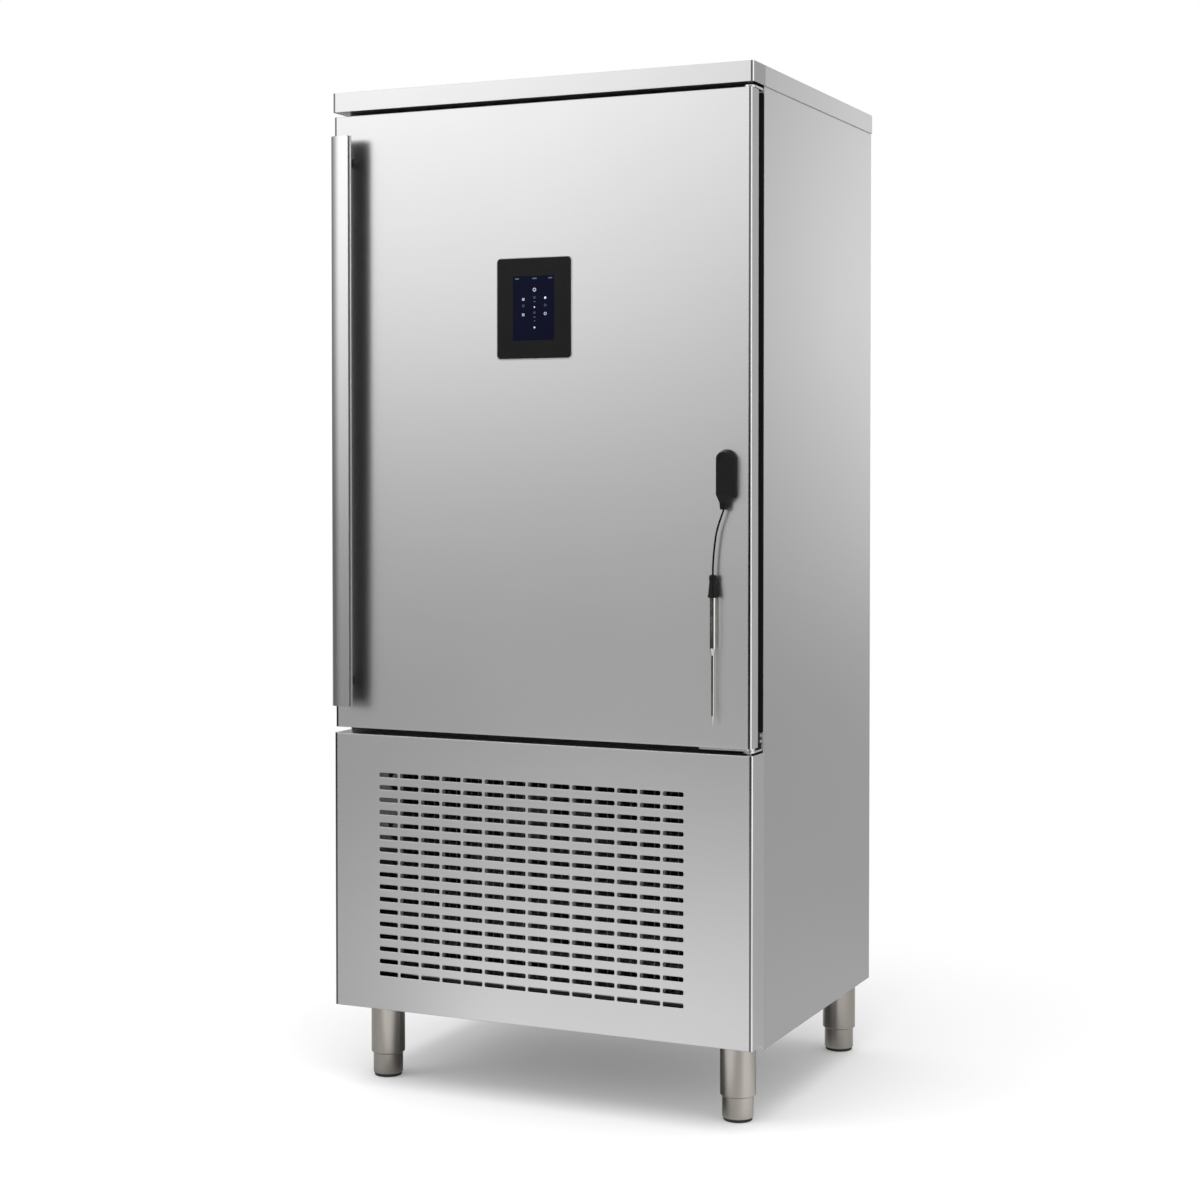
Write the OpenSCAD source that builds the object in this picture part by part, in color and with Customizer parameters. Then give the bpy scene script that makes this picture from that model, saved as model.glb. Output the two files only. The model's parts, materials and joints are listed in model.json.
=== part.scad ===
// Blast chiller: a free-standing cabinet on four levelling feet. The insulated chamber holds two
// tray racks in front of a fan panel, the refrigeration unit sits below it behind a slotted panel,
// and one full-height door hangs on pivots at the right. Millimetres, +Z up, front towards -Y.
// The origin is on the floor, at the middle of the width and of the depth over the handle.

/* [Cabinet] */
// Width over the top cover
body_w = 812; // [660:2:980]
// Depth from the door's face to the back, without the handle
body_d = 650; // [540:10:800]
// Height over everything
body_h = 1800; // [1480:10:2200]
// Height of the legs and feet below the cabinet
leg_h = 144; // [120:1:175]
// Height of the top cover
cover_h = 34.5; // [28:0.5:42]
// How far the side panels hang below the lower panel
side_drop = 11; // [0:1:16]
// How far the cover stands proud of the side panels
cover_lip = 2; // [1:0.5:4]
// Thickness of the outside steel
skin_t = 1.5; // [1:0.1:2]
// Bend radius of the steel at the front corners
bend_r = 4; // [2.5:0.5:6]

/* [Insulated box] */
// Foam in the side walls
side_foam_t = 57.5; // [45:0.5:70]
// Foam under the chamber
floor_foam_t = 59; // [45:0.5:72]
// Foam over the chamber
roof_foam_t = 52.5; // [44:0.5:65]
// Foam behind the chamber
back_foam_t = 58; // [45:0.5:70]
// Steel lining of the chamber
liner_t = 1; // [0.8:0.1:1.5]
// Thickness of the plastic frame round the opening
frame_t = 8; // [6:0.5:12]

/* [Lower panel] */
// Height of the slotted panel
lower_panel_h = 497; // [420:1:600]
// How far the panel's edge is inside the cover's side
lower_panel_inset = 0.5; // [0.5:0.5:2]
// Length of a slot
slot_l = 38; // [30:0.5:40]
// Height of a slot
slot_h = 8.2; // [6:0.2:10]
// Corner radius of a slot
slot_r = 2.8; // [1.5:0.1:2.9]
// Distance from slot to slot along a row
slot_pitch_x = 42.7; // [42:0.1:52]
// Distance from row to row
slot_pitch_z = 22.5; // [18:0.1:28]
// Plain steel left of the slots
slot_margin_left = 93.5; // [60:0.5:100]
// Plain steel right of the slots, at least
slot_margin_right = 112; // [90:1:130]
// Plain steel above and below the slots
slot_margin_z = 61; // [50:0.5:80]

/* [Door] */
// Gap between the door and the cover
door_gap_top = 9; // [8:0.5:14]
// Gap between the door and the lower panel
door_gap_low = 11; // [10:0.5:18]
// How far the door's edge is inside the cover's side
door_inset = 3; // [1:0.5:6]
// Depth of the door's steel shell
door_shell_d = 32; // [28:1:40]
// Thickness of the door's steel
door_skin_t = 1.2; // [1:0.1:1.5]
// Depth of the dark profile behind the shell
profile_d = 12; // [10:1:20]
// How far the profile is inside the shell's edge
profile_inset = 11; // [8:1:16]
// Depth from the door's face to the frame round the opening
door_zone = 56.5; // [54:0.5:78]
// Width of the gasket
gasket_w = 18; // [14:1:22]
// Gap between the gasket and the frame
gasket_gap = 0.3; // [0.2:0.1:0.5]
// How far the door's lining reaches into the opening
plug_depth = 8; // [0:1:12]
// Clearance round that lining
plug_gap = 8; // [6:1:14]

/* [Hinge] */
// Distance of the pivot from the door's edge
pivot_in = 11; // [9:0.5:16]
// Distance of the pivot from the door's face
pivot_back = 20; // [16:1:24]
// Pin diameter
pin_d = 10; // [8:0.5:12]
// Length of pin inside the door
pin_l = 22; // [16:1:30]
// Bush diameter
bush_d = 18; // [15:0.5:22]
// Running clearance round the pin
pin_gap = 0.05; // [0.03:0.01:0.08]
// Thickness of the hinge arms
arm_t = 3.5; // [3:0.5:5]
// Length of the bright strip under the door
strip_l = 87; // [60:1:120]
// Thickness of that strip
strip_t = 4; // [3:0.5:5]

/* [Handle] */
// How far the handle stands out from the door
handle_out = 40; // [36:1:60]
// Width of the handle profile
handle_w = 38; // [32:1:46]
// Depth of the handle with its lining
handle_d = 14; // [12:1:16]
// How far the handle's left edge is rounded back
handle_bow = 7; // [5:0.5:8]
// Wall of the handle profile
handle_t = 2; // [1.5:0.5:2.5]
// How far the lip at the handle's right stands out beyond its face
handle_lip = 3.7; // [2:0.1:5]
// Distance of the handle from the door's left edge
handle_in = 14; // [10:1:40]
// Plain door left below and above the handle
handle_margin = 42; // [30:1:80]
// Distance of the standoffs from the handle's ends
standoff_in = 44; // [30:1:80]
// Diameter of a standoff
standoff_d = 15; // [12:1:18]

/* [Display] */
// Width of the display bezel
bezel_w = 141.5; // [120:0.5:160]
// Height of the display bezel
bezel_h = 174; // [150:1:200]
// Corner radius of the bezel
bezel_r = 6; // [3:0.5:10]
// How far the bezel stands out of the door
bezel_out = 2.5; // [1.5:0.5:4]
// Width of the screen
screen_w = 80; // [70:1:90]
// Height of the screen
screen_h = 112; // [95:1:125]
// How far the bezel's middle is left of the door's middle
bezel_left = 0; // [0:0.5:20]
// How far the bezel's middle is below the door's top
bezel_down = 356; // [250:0.5:450]

/* [Core probe] */
// Distance of the plug from the door's right edge
plug_in = 42.5; // [36:0.5:60]
// Height of the plug's middle above the door's bottom
plug_up = 462; // [380:1:520]
// Width of the plug at the door
plug_w = 32; // [28:1:40]
// Height of the plug
plug_h = 80; // [70:1:90]
// How far the plug stands out
plug_out = 25; // [20:1:30]
// Diameter of the plug's contact pin
contact_d = 6.3; // [5:0.1:8]
// Length of the contact pin
contact_l = 14; // [10:1:18]
// Clearance between pin and socket
contact_gap = 0.1; // [0.05:0.05:0.3]
// Cord diameter
cord_d = 3.2; // [3:0.1:3.6]
// Diameter of the probe's steel stem
stem_d = 10.5; // [8:0.5:12]
// Diameter of the needle
needle_d = 5.4; // [4:0.2:6]
// Length of the stem
stem_h = 85; // [60:1:100]
// Length of the needle with its point
needle_h = 132; // [100:1:140]

/* [Feet] */
// Diameter of the leg tubes
leg_d = 62; // [54:1:70]
// Diameter of the levelling sleeves
sleeve_d = 54.5; // [48:0.5:58]
// Height of the leg tubes' lower end
sleeve_show = 43; // [36:1:50]
// Thickness of the rubber pads
pad_t = 5; // [4:0.5:8]
// Thread diameter of the foot stems
stem_thread_d = 16; // [12:1:20]
// Distance of the front legs from the cabinet's sides
leg_in_front = 58; // [42:1:80]
// Distance of the back legs from the cabinet's sides
leg_in_back = 46; // [42:1:80]
// Distance of the front legs from the door's face
leg_front = 90; // [80:1:140]
// Distance of the back legs from the back
leg_back = 45; // [38:1:80]

/* [Tray racks] */
// Length of a tray across the chamber
tray_w = 600; // [480:5:620]
// Play between a tray and the rails' webs, on each side
tray_play = 4; // [2:0.5:6]
// Width of the ledge that carries a tray
ledge_w = 26; // [20:1:32]
// Depth of a rail's web
web_h = 16; // [12:1:22]
// Sheet of the rails
rail_t = 2; // [1.5:0.5:3]
// Distance from rail to rail
rail_pitch = 72; // [60:1:90]
// Height of the lowest ledge over the chamber floor
rail_first = 52; // [40:1:80]
// Plain space kept above the highest ledge
rail_last = 60; // [50:1:90]

/* [Fans] */
// Diameter of a chamber fan
fan_d = 230; // [200:5:245]
// Clearance round a fan
fan_gap = 9; // [6:1:12]
// Depth of the space behind the fan panel
plenum_d = 104; // [98:1:112]
// Opening above and below the fan panel
panel_air_gap = 46; // [36:1:60]
// Diameter of the condenser fan
cond_fan_d = 280; // [240:5:300]
// Shaft diameter of the fan motors
shaft_d = 8; // [6:0.5:10]

/* [Hidden] */
$fn = 48;
eps = 0.5;

// Planes of the cabinet, front to back
front_y = -(body_d + handle_out) / 2 + handle_out;
back_y = front_y + body_d;
case_y = front_y + door_zone;
back_sheet_y = back_y - 2 * skin_t;

// Widths, from the middle out
side_x = body_w / 2 - cover_lip;
inner_x = side_x - skin_t;
chamber_x = inner_x - side_foam_t - liner_t;
door_x = body_w / 2 - door_inset;
lower_panel_w = body_w - 2 * lower_panel_inset;

// Heights
lower_z1 = leg_h + lower_panel_h;
door_z0 = lower_z1 + door_gap_low;
cover_z0 = body_h - cover_h;
door_z1 = cover_z0 - door_gap_top;
floor_steel_z = lower_z1 - 6.5;
foam_z1 = cover_z0 - 1;
chamber_z0 = floor_steel_z + floor_foam_t + liner_t;
chamber_z1 = foam_z1 - roof_foam_t - liner_t;
base_z1 = leg_h + skin_t;

// The chamber, front to back
liner_y0 = case_y + frame_t;
liner_y1 = back_sheet_y - back_foam_t - liner_t;
fan_panel_t = 1.5;
fan_panel_y = liner_y1 - plenum_d;

// Hinge
pivot_x = door_x - pivot_in;
pivot_y = front_y + pivot_back;

// Small sizes shared by neighbours
washer_gap = 0.3;
bezel_x = -bezel_left;
bezel_z = door_z1 - bezel_down;
bezel_sink = 6;
housing_d = 34;
plug_x = door_x - plug_in;
plug_z = door_z0 + plug_up;

// Feet
leg_x = [side_x - leg_in_front, side_x - leg_in_back];
leg_y = [front_y + leg_front, back_y - leg_back];
sleeve_gap = 0.3;
nut_t = 8;

// Probe: the cord's route, from the neck of the plug to the grip, with +Z up from the probe's point
probe_y = front_y - 12;
route_x0 = plug_x;
route_z0 = plug_z;
cord_points = [
  [-2.5, 0, -60.5], [-4.6, 0, -67], [-7.3, 0, -74], [-9.9, 0, -81], [-12.2, 0, -88],
  [-14.2, 0, -95], [-15.8, 0, -102], [-17, 0, -109], [-18, 0, -116], [-18.9, 0, -123],
  [-19.7, 0, -130], [-20.4, 0, -138], [-21, 0, -146], [-21.4, 0, -154], [-21.7, 0, -162],
  [-21.8, 0, -170]
];
neck_dx = -2.5;
neck_z = plug_z - 60.5;
probe_x = plug_x - 21.8;
grip_z1 = plug_z - 170;
grip_h = 38.5;

// ---------------------------------------------------------------- shared forms

// A block given by its two corners
module block(x0, x1, y0, y1, z0, z1)
  translate([x0, y0, z0]) cube([x1 - x0, y1 - y0, z1 - z0]);

// The plan of a sheet folded round both front corners, its face at y = 0
module folded_plan(w, d, r) {
  translate([-w / 2, r]) square([w, d - r]);
  translate([-w / 2 + r, 0]) square([w - 2 * r, r + 0.01]);
  for (side = [-1, 1]) translate([side * (w / 2 - r), r]) circle(r);
}

// A tray of sheet steel, open at the back, with its face at y = 0 and its foot at z = 0
module steel_tray(w, d, h, r, t)
  difference() {
    linear_extrude(h) folded_plan(w, d, r);
    translate([0, t, t]) linear_extrude(h - 2 * t) folded_plan(w - 2 * t, d, r - t);
  }

// A rectangle with round corners, centred
module round_rect(w, h, r) {
  square([w - 2 * r, h], center = true);
  square([w, h - 2 * r], center = true);
  for (x = [-1, 1], z = [-1, 1]) translate([x * (w / 2 - r), z * (h / 2 - r)]) circle(r);
}

// A flat plate drawn in X and Z, from y back to y + t
module upright_plate(y, t)
  translate([0, y + t, 0]) rotate([90, 0, 0]) linear_extrude(t) children();

// A round bar along Y, from y0 to y1
module bar_y(x, z, y0, y1, d)
  translate([x, y1, z]) rotate([90, 0, 0]) cylinder(d = d, h = y1 - y0);

// A round bar along X, from x0 to x1
module bar_x(y, z, x0, x1, d)
  translate([x0, y, z]) rotate([0, 90, 0]) cylinder(d = d, h = x1 - x0);

// ---------------------------------------------------------------- cabinet shell

module top_cover() {
  w = body_w / 2;
  hem = 8;
  color("gainsboro") difference() {
    block(-w, w, case_y, back_y, cover_z0, body_h);
    block(-w + skin_t, w - skin_t, case_y - eps, back_y - skin_t,
          cover_z0 + skin_t, body_h - skin_t);
    block(-w + hem, w - hem, case_y - eps, back_y - hem, cover_z0 - eps, cover_z0 + 2 * skin_t);
  }
}

module top_fascia()
  color("gainsboro")
    translate([0, front_y, cover_z0]) steel_tray(body_w, door_zone, cover_h, bend_r, skin_t);

// A side panel, hemmed inwards at the back
module side_panel() {
  hem = 16;
  block(inner_x, side_x, case_y, back_y, leg_h - side_drop, cover_z0);
  block(inner_x - hem, inner_x, back_y - skin_t, back_y, leg_h - side_drop, cover_z0);
}

module left_side_panel() color("silver") mirror([1, 0, 0]) side_panel();
module right_side_panel() color("silver") side_panel();

module back_panel()
  color("silver")
    block(-inner_x, inner_x, back_sheet_y, back_sheet_y + skin_t, floor_steel_z - skin_t, cover_z0);

// The rear grille closes the machine space behind, set in so that the cable gland stays inside
grille_y = back_y - 24;
grille_margin = 70;
louvre_pitch = 24;
louvre_l = 200;
module rear_grille() {
  z0 = base_z1;
  z1 = floor_steel_z - skin_t;
  rows = floor((z1 - z0 - 2 * grille_margin) / louvre_pitch);
  color("silver") difference() {
    block(-inner_x, inner_x, grille_y, grille_y + skin_t, z0, z1);
    for (x = [-1, 1], i = [0:rows])
      translate([x * (louvre_l / 2 + 20), 0, z0 + grille_margin + i * louvre_pitch])
        upright_plate(grille_y - eps, skin_t + 2 * eps) round_rect(louvre_l, 7, 3);
    bar_y(gland_x, gland_z, grille_y - eps, grille_y + skin_t + eps, gland_bore_d + 4);
  }
}

slot_cols = floor((lower_panel_w - slot_margin_left - slot_margin_right - slot_l) / slot_pitch_x) + 1;
slot_rows = floor((lower_panel_h - 2 * slot_margin_z - slot_h) / slot_pitch_z + 0.1) + 1;
module lower_front_panel() {
  first_x = -lower_panel_w / 2 + slot_margin_left + slot_l / 2;
  first_z = leg_h + slot_margin_z + slot_h / 2;
  color("gainsboro") difference() {
    translate([0, front_y, leg_h])
      steel_tray(lower_panel_w, door_zone, lower_panel_h, bend_r, door_skin_t);
    for (i = [0:slot_cols - 1], j = [0:slot_rows - 1])
      translate([first_x + i * slot_pitch_x, 0, first_z + j * slot_pitch_z])
        upright_plate(front_y - eps, door_skin_t + 2 * eps) round_rect(slot_l, slot_h, slot_r);
  }
}

module opening_frame()
  color("#1c1c1e") difference() {
    block(-inner_x, inner_x, case_y, liner_y0, floor_steel_z, foam_z1);
    block(-chamber_x, chamber_x, case_y - eps, liner_y0 + eps, chamber_z0, chamber_z1);
  }

pipe_hole_d = 34;
pipe_x = chamber_x - 60;
pipe_y = liner_y1 - 45;
drain_x = -chamber_x + 90;
drain_y = liner_y1 - 40;
drain_d = 20;
module insulation_shell()
  color("khaki") difference() {
    block(-inner_x, inner_x, liner_y0, back_sheet_y, floor_steel_z, foam_z1);
    block(-chamber_x - liner_t, chamber_x + liner_t, liner_y0 - eps, liner_y1 + liner_t,
          chamber_z0 - liner_t, chamber_z1 + liner_t);
    translate([pipe_x, pipe_y, floor_steel_z - eps]) cylinder(d = pipe_hole_d, h = floor_foam_t + 2);
    translate([drain_x, drain_y, floor_steel_z - eps]) cylinder(d = drain_d + 1, h = floor_foam_t + 2);
  }

module chamber_liner()
  color("lightgray") difference() {
    block(-chamber_x - liner_t, chamber_x + liner_t, liner_y0, liner_y1 + liner_t,
          chamber_z0 - liner_t, chamber_z1 + liner_t);
    block(-chamber_x, chamber_x, liner_y0 - eps, liner_y1, chamber_z0, chamber_z1);
    translate([pipe_x, pipe_y, chamber_z0 - 3]) cylinder(d = pipe_hole_d, h = 6);
    translate([drain_x, drain_y, chamber_z0 - 3]) cylinder(d = drain_d - 4, h = 6);
  }

module casing_floor()
  color("darkgray") difference() {
    block(-inner_x, inner_x, case_y, back_sheet_y, floor_steel_z - skin_t, floor_steel_z);
    translate([pipe_x, pipe_y, floor_steel_z - 3]) cylinder(d = pipe_hole_d, h = 6);
    translate([drain_x, drain_y, floor_steel_z - 3]) cylinder(d = drain_d + 1, h = 6);
  }

// The base pan carries the legs and the refrigeration unit
module base_pan() {
  rim_h = 22;
  color("darkgray") difference() {
    union() {
      block(-inner_x, inner_x, case_y, back_y - skin_t, leg_h, base_z1);
      for (side = [-1, 1]) mirror([side < 0 ? 1 : 0, 0, 0])
        block(inner_x - skin_t, inner_x, case_y, grille_y, leg_h, leg_h + rim_h);
      block(-inner_x, inner_x, case_y, case_y + skin_t, leg_h, leg_h + rim_h);
    }
    for (side = [-1, 1], i = [0, 1])
      translate([side * leg_x[i], leg_y[i], leg_h - eps]) cylinder(d = stem_thread_d + 4, h = 4);
    translate([drain_x, drain_y, leg_h - eps]) cylinder(d = drain_d + 1, h = 4);
  }
}

// ---------------------------------------------------------------- legs and feet

// A place over a foot: side -1 or 1, row 0 at the front or 1 at the back
module at_leg(side, i) translate([side * leg_x[i], leg_y[i], 0]) children();

// A leg tube, closed at the top by a threaded plate for the foot's stem
module leg_tube() {
  wall = (leg_d - sleeve_d) / 2 - sleeve_gap;
  top = leg_h;
  bevel = 2;
  rotate_extrude()
    polygon([
      [leg_d / 2 - wall, sleeve_show], [leg_d / 2 - bevel, sleeve_show],
      [leg_d / 2, sleeve_show + bevel], [leg_d / 2, top],
      [stem_thread_d / 2 + sleeve_gap, top], [stem_thread_d / 2 + sleeve_gap, top - nut_t],
      [leg_d / 2 - wall, top - nut_t]
    ]);
}

module leg_tubes()
  color("silver") for (side = [-1, 1], i = [0, 1]) at_leg(side, i) leg_tube();

// A levelling foot: a cup that slides in the leg tube, and its threaded stem
module foot_sleeve() {
  cup_h = sleeve_show + 34;
  wall = 3;
  rotate_extrude()
    polygon([
      [0, pad_t], [sleeve_d / 2 - 1.5, pad_t], [sleeve_d / 2, pad_t + 1.5],
      [sleeve_d / 2, cup_h], [sleeve_d / 2 - wall, cup_h], [sleeve_d / 2 - wall, pad_t + 6],
      [stem_thread_d / 2, pad_t + 6], [stem_thread_d / 2, leg_h + 4 - 1.5],
      [stem_thread_d / 2 - 1.5, leg_h + 4], [0, leg_h + 4]
    ]);
}

module foot_pad() {
  edge = 1.2;
  rotate_extrude()
    polygon([[0, 0], [sleeve_d / 2 - 2 - edge, 0], [sleeve_d / 2 - 2, edge],
             [sleeve_d / 2 - 2, pad_t], [0, pad_t]]);
}

module front_left_foot() color("silver") at_leg(-1, 0) foot_sleeve();
module front_right_foot() color("silver") at_leg(1, 0) foot_sleeve();
module back_left_foot() color("silver") at_leg(-1, 1) foot_sleeve();
module back_right_foot() color("silver") at_leg(1, 1) foot_sleeve();
module front_left_pad() color("#1c1c1e") at_leg(-1, 0) foot_pad();
module front_right_pad() color("#1c1c1e") at_leg(1, 0) foot_pad();
module back_left_pad() color("#1c1c1e") at_leg(-1, 1) foot_pad();
module back_right_pad() color("#1c1c1e") at_leg(1, 1) foot_pad();

// ---------------------------------------------------------------- refrigeration unit

// Coils are stacks of thin fins on straight tubes
coil_d = 50;
cond_x0 = -inner_x + 90;
cond_x1 = inner_x - 110;
cond_y0 = case_y + 14;
cond_z0 = leg_h + 40;
cond_z1 = floor_steel_z - 40;
module fin_coil(x0, x1, y0, y1, z0, z1, fin_pitch, rows, row_y, tube_d) {
  fins = floor((x1 - x0) / fin_pitch);
  row_step = (z1 - z0) / rows;
  for (i = [0:fins]) block(x0 + i * fin_pitch, x0 + i * fin_pitch + 1, y0, y1, z0, z1);
  for (j = [0:rows - 1], y = row_y)
    bar_x(y, z0 + (j + 0.5) * row_step, x0 - 8, x0 + fins * fin_pitch + 9, tube_d);
}

tube_d = 9.5;
face_tubes = 13;
face_pitch = 43.6;
face_y = cond_y0 - 6;
header_d = 14;
header_in = 12;
module condenser_coil() {
  fin_pitch = 15;
  fins = floor((cond_x1 - cond_x0) / fin_pitch);
  last_x = cond_x0 + fins * fin_pitch + 1;
  first_tube = cond_x0 + 10;
  color("lightslategray") {
    fin_coil(cond_x0, cond_x1, cond_y0, cond_y0 + coil_d, cond_z0, cond_z1, fin_pitch, 9,
             [cond_y0 + coil_d / 2], tube_d);
    for (x = [cond_x0, last_x - 1.5])
      block(x, x + 1.5, cond_y0, cond_y0 + coil_d + 6, base_z1, cond_z1 + 10);
    // A row of upright tubes in front of the fins, between two headers
    for (z = [cond_z0 + header_in, cond_z1 - header_in])
      bar_x(face_y, z, cond_x0, last_x, header_d);
    for (i = [0:face_tubes - 1])
      translate([first_tube + i * face_pitch, face_y, cond_z0 + header_in])
        cylinder(d = tube_d, h = cond_z1 - cond_z0 - 2 * header_in);
  }
}

shroud_y = cond_y0 + coil_d + 6;
cond_fan_x = (cond_x0 + cond_x1) / 2;
cond_fan_z = (cond_z0 + cond_z1) / 2;
module condenser_shroud() {
  ring_d = 34;
  hole_d = cond_fan_d + 2 * fan_gap;
  color("#303236") difference() {
    union() {
      block(cond_x0, cond_x1, shroud_y, shroud_y + 2, cond_z0 - 10, cond_z1 + 10);
      bar_y(cond_fan_x, cond_fan_z, shroud_y, shroud_y + ring_d, hole_d + 5);
    }
    bar_y(cond_fan_x, cond_fan_z, shroud_y - eps, shroud_y + ring_d + eps, hole_d);
  }
}

cond_rotor_y = shroud_y + 12;
rotor_l = 26;
module condenser_fan()
  color("#26282b") translate([cond_fan_x, cond_rotor_y, cond_fan_z]) rotate([-90, 0, 0])
    fan_blades(cond_fan_d, 84, rotor_l, 5);

// Swept blades between a hub and the rotor's rim, open to the motor's shaft behind
module fan_blades(d, hub_d, hub_l, blades) {
  bore = shaft_d + 2 * pin_gap;
  reach = d / 2 - 1;
  difference() {
    union() {
      cylinder(d = hub_d, h = hub_l);
      for (i = [0:blades - 1]) rotate([0, 0, i * 360 / blades])
        intersection() {
          translate([0, 0, 1]) cylinder(r = reach, h = hub_l - 2);
          translate([hub_d / 2 - 4, 0, hub_l / 2]) rotate([28, 0, 0])
            linear_extrude(2.2, center = true) blade_plan(reach - hub_d / 2 + 12, 0.3 * d);
        }
    }
    translate([0, 0, 5]) cylinder(d = bore, h = hub_l);
  }
}

// One blade's outline: narrow at the hub and wide at the tip
module blade_plan(l, w)
  polygon([[0, -w * 0.24], [l * 0.45, -w * 0.42], [l, -w * 0.5], [l, w * 0.5],
           [l * 0.45, w * 0.36], [0, w * 0.24]]);

// A motor with its shaft towards the fan, its back at y = length
module fan_motor(d, length, shaft_reach) {
  rotate([-90, 0, 0]) {
    cylinder(d = d, h = length);
    translate([0, 0, length]) cylinder(d = d * 0.55, h = 6);
    translate([0, 0, -shaft_reach]) cylinder(d = shaft_d, h = shaft_reach + 1);
  }
}

cond_motor_y = cond_rotor_y + rotor_l + 4;
cond_motor_l = 60;
module condenser_fan_motor()
  color("#4a4d52") {
    translate([cond_fan_x, cond_motor_y, cond_fan_z]) fan_motor(90, cond_motor_l, 18);
    difference() {
      block(cond_fan_x - 30, cond_fan_x + 30, cond_motor_y + 10, cond_motor_y + cond_motor_l - 10,
            base_z1, cond_fan_z);
      block(cond_fan_x - 27, cond_fan_x + 27, cond_motor_y, cond_motor_y + cond_motor_l,
            base_z1 + 3, cond_fan_z - 50);
      bar_y(cond_fan_x, cond_fan_z, cond_motor_y, cond_motor_y + cond_motor_l, 88);
    }
  }

comp_x = 185;
comp_y = 120;
comp_z = base_z1 + 24;
comp_d = 190;
comp_foot = 78;
comp_stub_d = 18;
comp_stub_h = 226;
module compressor() {
  body_l = 150;
  dome = 34;
  color("#17181a") translate([comp_x, comp_y, comp_z]) {
    difference() {
      translate([-100, -100, 0]) cube([200, 200, 4]);
      for (x = [-1, 1], y = [-1, 1])
        translate([x * comp_foot, y * comp_foot, -1]) cylinder(d = 13, h = 6);
    }
    rotate_extrude()
      polygon(concat(
        [[0, 4], [comp_d / 2 - 12, 4], [comp_d / 2, 20], [comp_d / 2, body_l]],
        [for (a = [10:10:80]) [comp_d / 2 * cos(a), body_l + 2 * dome * sin(a)]],
        [[0, body_l + 2 * dome]]
      ));
    translate([comp_d / 2 - 6, -24, 90]) cube([22, 48, 60]);
    cylinder(d = comp_stub_d, h = comp_stub_h);
  }
}

// Rubber mounts: a grommet under and over the compressor's plate, round a fixed stud
module compressor_mounts()
  color("#2a2a2a") for (x = [-1, 1], y = [-1, 1])
    translate([comp_x + x * comp_foot, comp_y + y * comp_foot, base_z1]) {
      cylinder(d = 28, h = 24);
      cylinder(d = 12, h = 36);
      translate([0, 0, 28]) cylinder(d = 22, h = 6);
    }

recv_x = inner_x - 60;
recv_y = -60;
recv_d = 70;
module liquid_receiver()
  color("#17181a") translate([recv_x, recv_y, base_z1]) {
    cylinder(d = 96, h = 3);
    rotate_extrude()
      polygon([[0, 3], [recv_d / 2 - 14, 3], [recv_d / 2, 16], [recv_d / 2, 184],
               [recv_d / 2 - 14, 200], [0, 202]]);
  }

// Copper lines: straight runs joined by quarter bends
pipe_d = 12;
pipe_r = 26;
module quarter_bend(from)
  rotate([0, 0, from]) rotate_extrude(angle = 90) translate([pipe_r, 0]) circle(d = pipe_d);

module refrigerant_pipes() {
  start_z = comp_z + comp_stub_h;
  run_z = start_z + pipe_r + 8;
  color("peru") {
    // Suction line: up out of the compressor, over to the pipe hole and up into the chamber
    translate([comp_x, comp_y, start_z]) cylinder(d = pipe_d, h = run_z - pipe_r - start_z);
    translate([comp_x + pipe_r, comp_y, run_z - pipe_r]) rotate([90, 0, 0]) quarter_bend(90);
    bar_x(comp_y, run_z, comp_x + pipe_r, pipe_x - pipe_r, pipe_d);
    translate([pipe_x - pipe_r, comp_y + pipe_r, run_z]) quarter_bend(-90);
    bar_y(pipe_x, run_z, comp_y + pipe_r, pipe_y - pipe_r, pipe_d);
    translate([pipe_x, pipe_y - pipe_r, run_z + pipe_r]) rotate([90, 0, 90]) quarter_bend(-90);
    translate([pipe_x, pipe_y, run_z + pipe_r]) cylinder(d = pipe_d, h = evap_z0 - run_z - pipe_r);
  }
}

ebox_w = 120;
ebox_h = 230;
module electrical_box() {
  x0 = -inner_x + 20;
  y0 = -40;
  color("whitesmoke") {
    difference() {
      block(x0, x0 + ebox_w, y0, y0 + 220, base_z1, base_z1 + ebox_h);
      block(x0 + 2, x0 + ebox_w - 2, y0 + 2, y0 + 218, base_z1 + 2, base_z1 + ebox_h - 4);
    }
    block(x0 - 3, x0 + ebox_w + 3, y0 - 3, y0 + 223, base_z1 + ebox_h, base_z1 + ebox_h + 4);
  }
}

// ---------------------------------------------------------------- chamber fittings

evap_z0 = chamber_z0 + 44;
evap_z1 = chamber_z1 - 60;
evap_y1 = liner_y1 - 2;
module evaporator_coil() {
  x0 = -chamber_x + 24;
  x1 = chamber_x - 34;
  color("lightslategray") {
    fin_coil(x0, x1, evap_y1 - 34, evap_y1, evap_z0, evap_z1, 22, 10, [evap_y1 - 17], tube_d);
    for (x = [x0 - 10, x1])
      block(x, x + 3, evap_y1 - 34, liner_y1, evap_z0, evap_z1);
  }
}

fan_z = [for (side = [-1, 1])
  (chamber_z0 + chamber_z1) / 2 + side * (chamber_z1 - chamber_z0) * 0.22];
panel_z0 = chamber_z0 + panel_air_gap;
panel_z1 = chamber_z1 - panel_air_gap;
fan_hole_d = fan_d + 2 * fan_gap;
module fan_panel() {
  flange = 20;
  color("lightgray") difference() {
    union() {
      block(-chamber_x, chamber_x, fan_panel_y, fan_panel_y + fan_panel_t, panel_z0, panel_z1);
      for (side = [0, 1]) mirror([side, 0, 0])
        block(chamber_x - fan_panel_t, chamber_x, fan_panel_y, fan_panel_y + flange,
              panel_z0, panel_z1);
      for (z = [panel_z0, panel_z1 - fan_panel_t])
        block(-chamber_x, chamber_x, fan_panel_y, fan_panel_y + flange, z, z + fan_panel_t);
    }
    for (z = fan_z)
      bar_y(0, z, fan_panel_y - eps, fan_panel_y + fan_panel_t + eps, fan_hole_d);
  }
}

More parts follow.
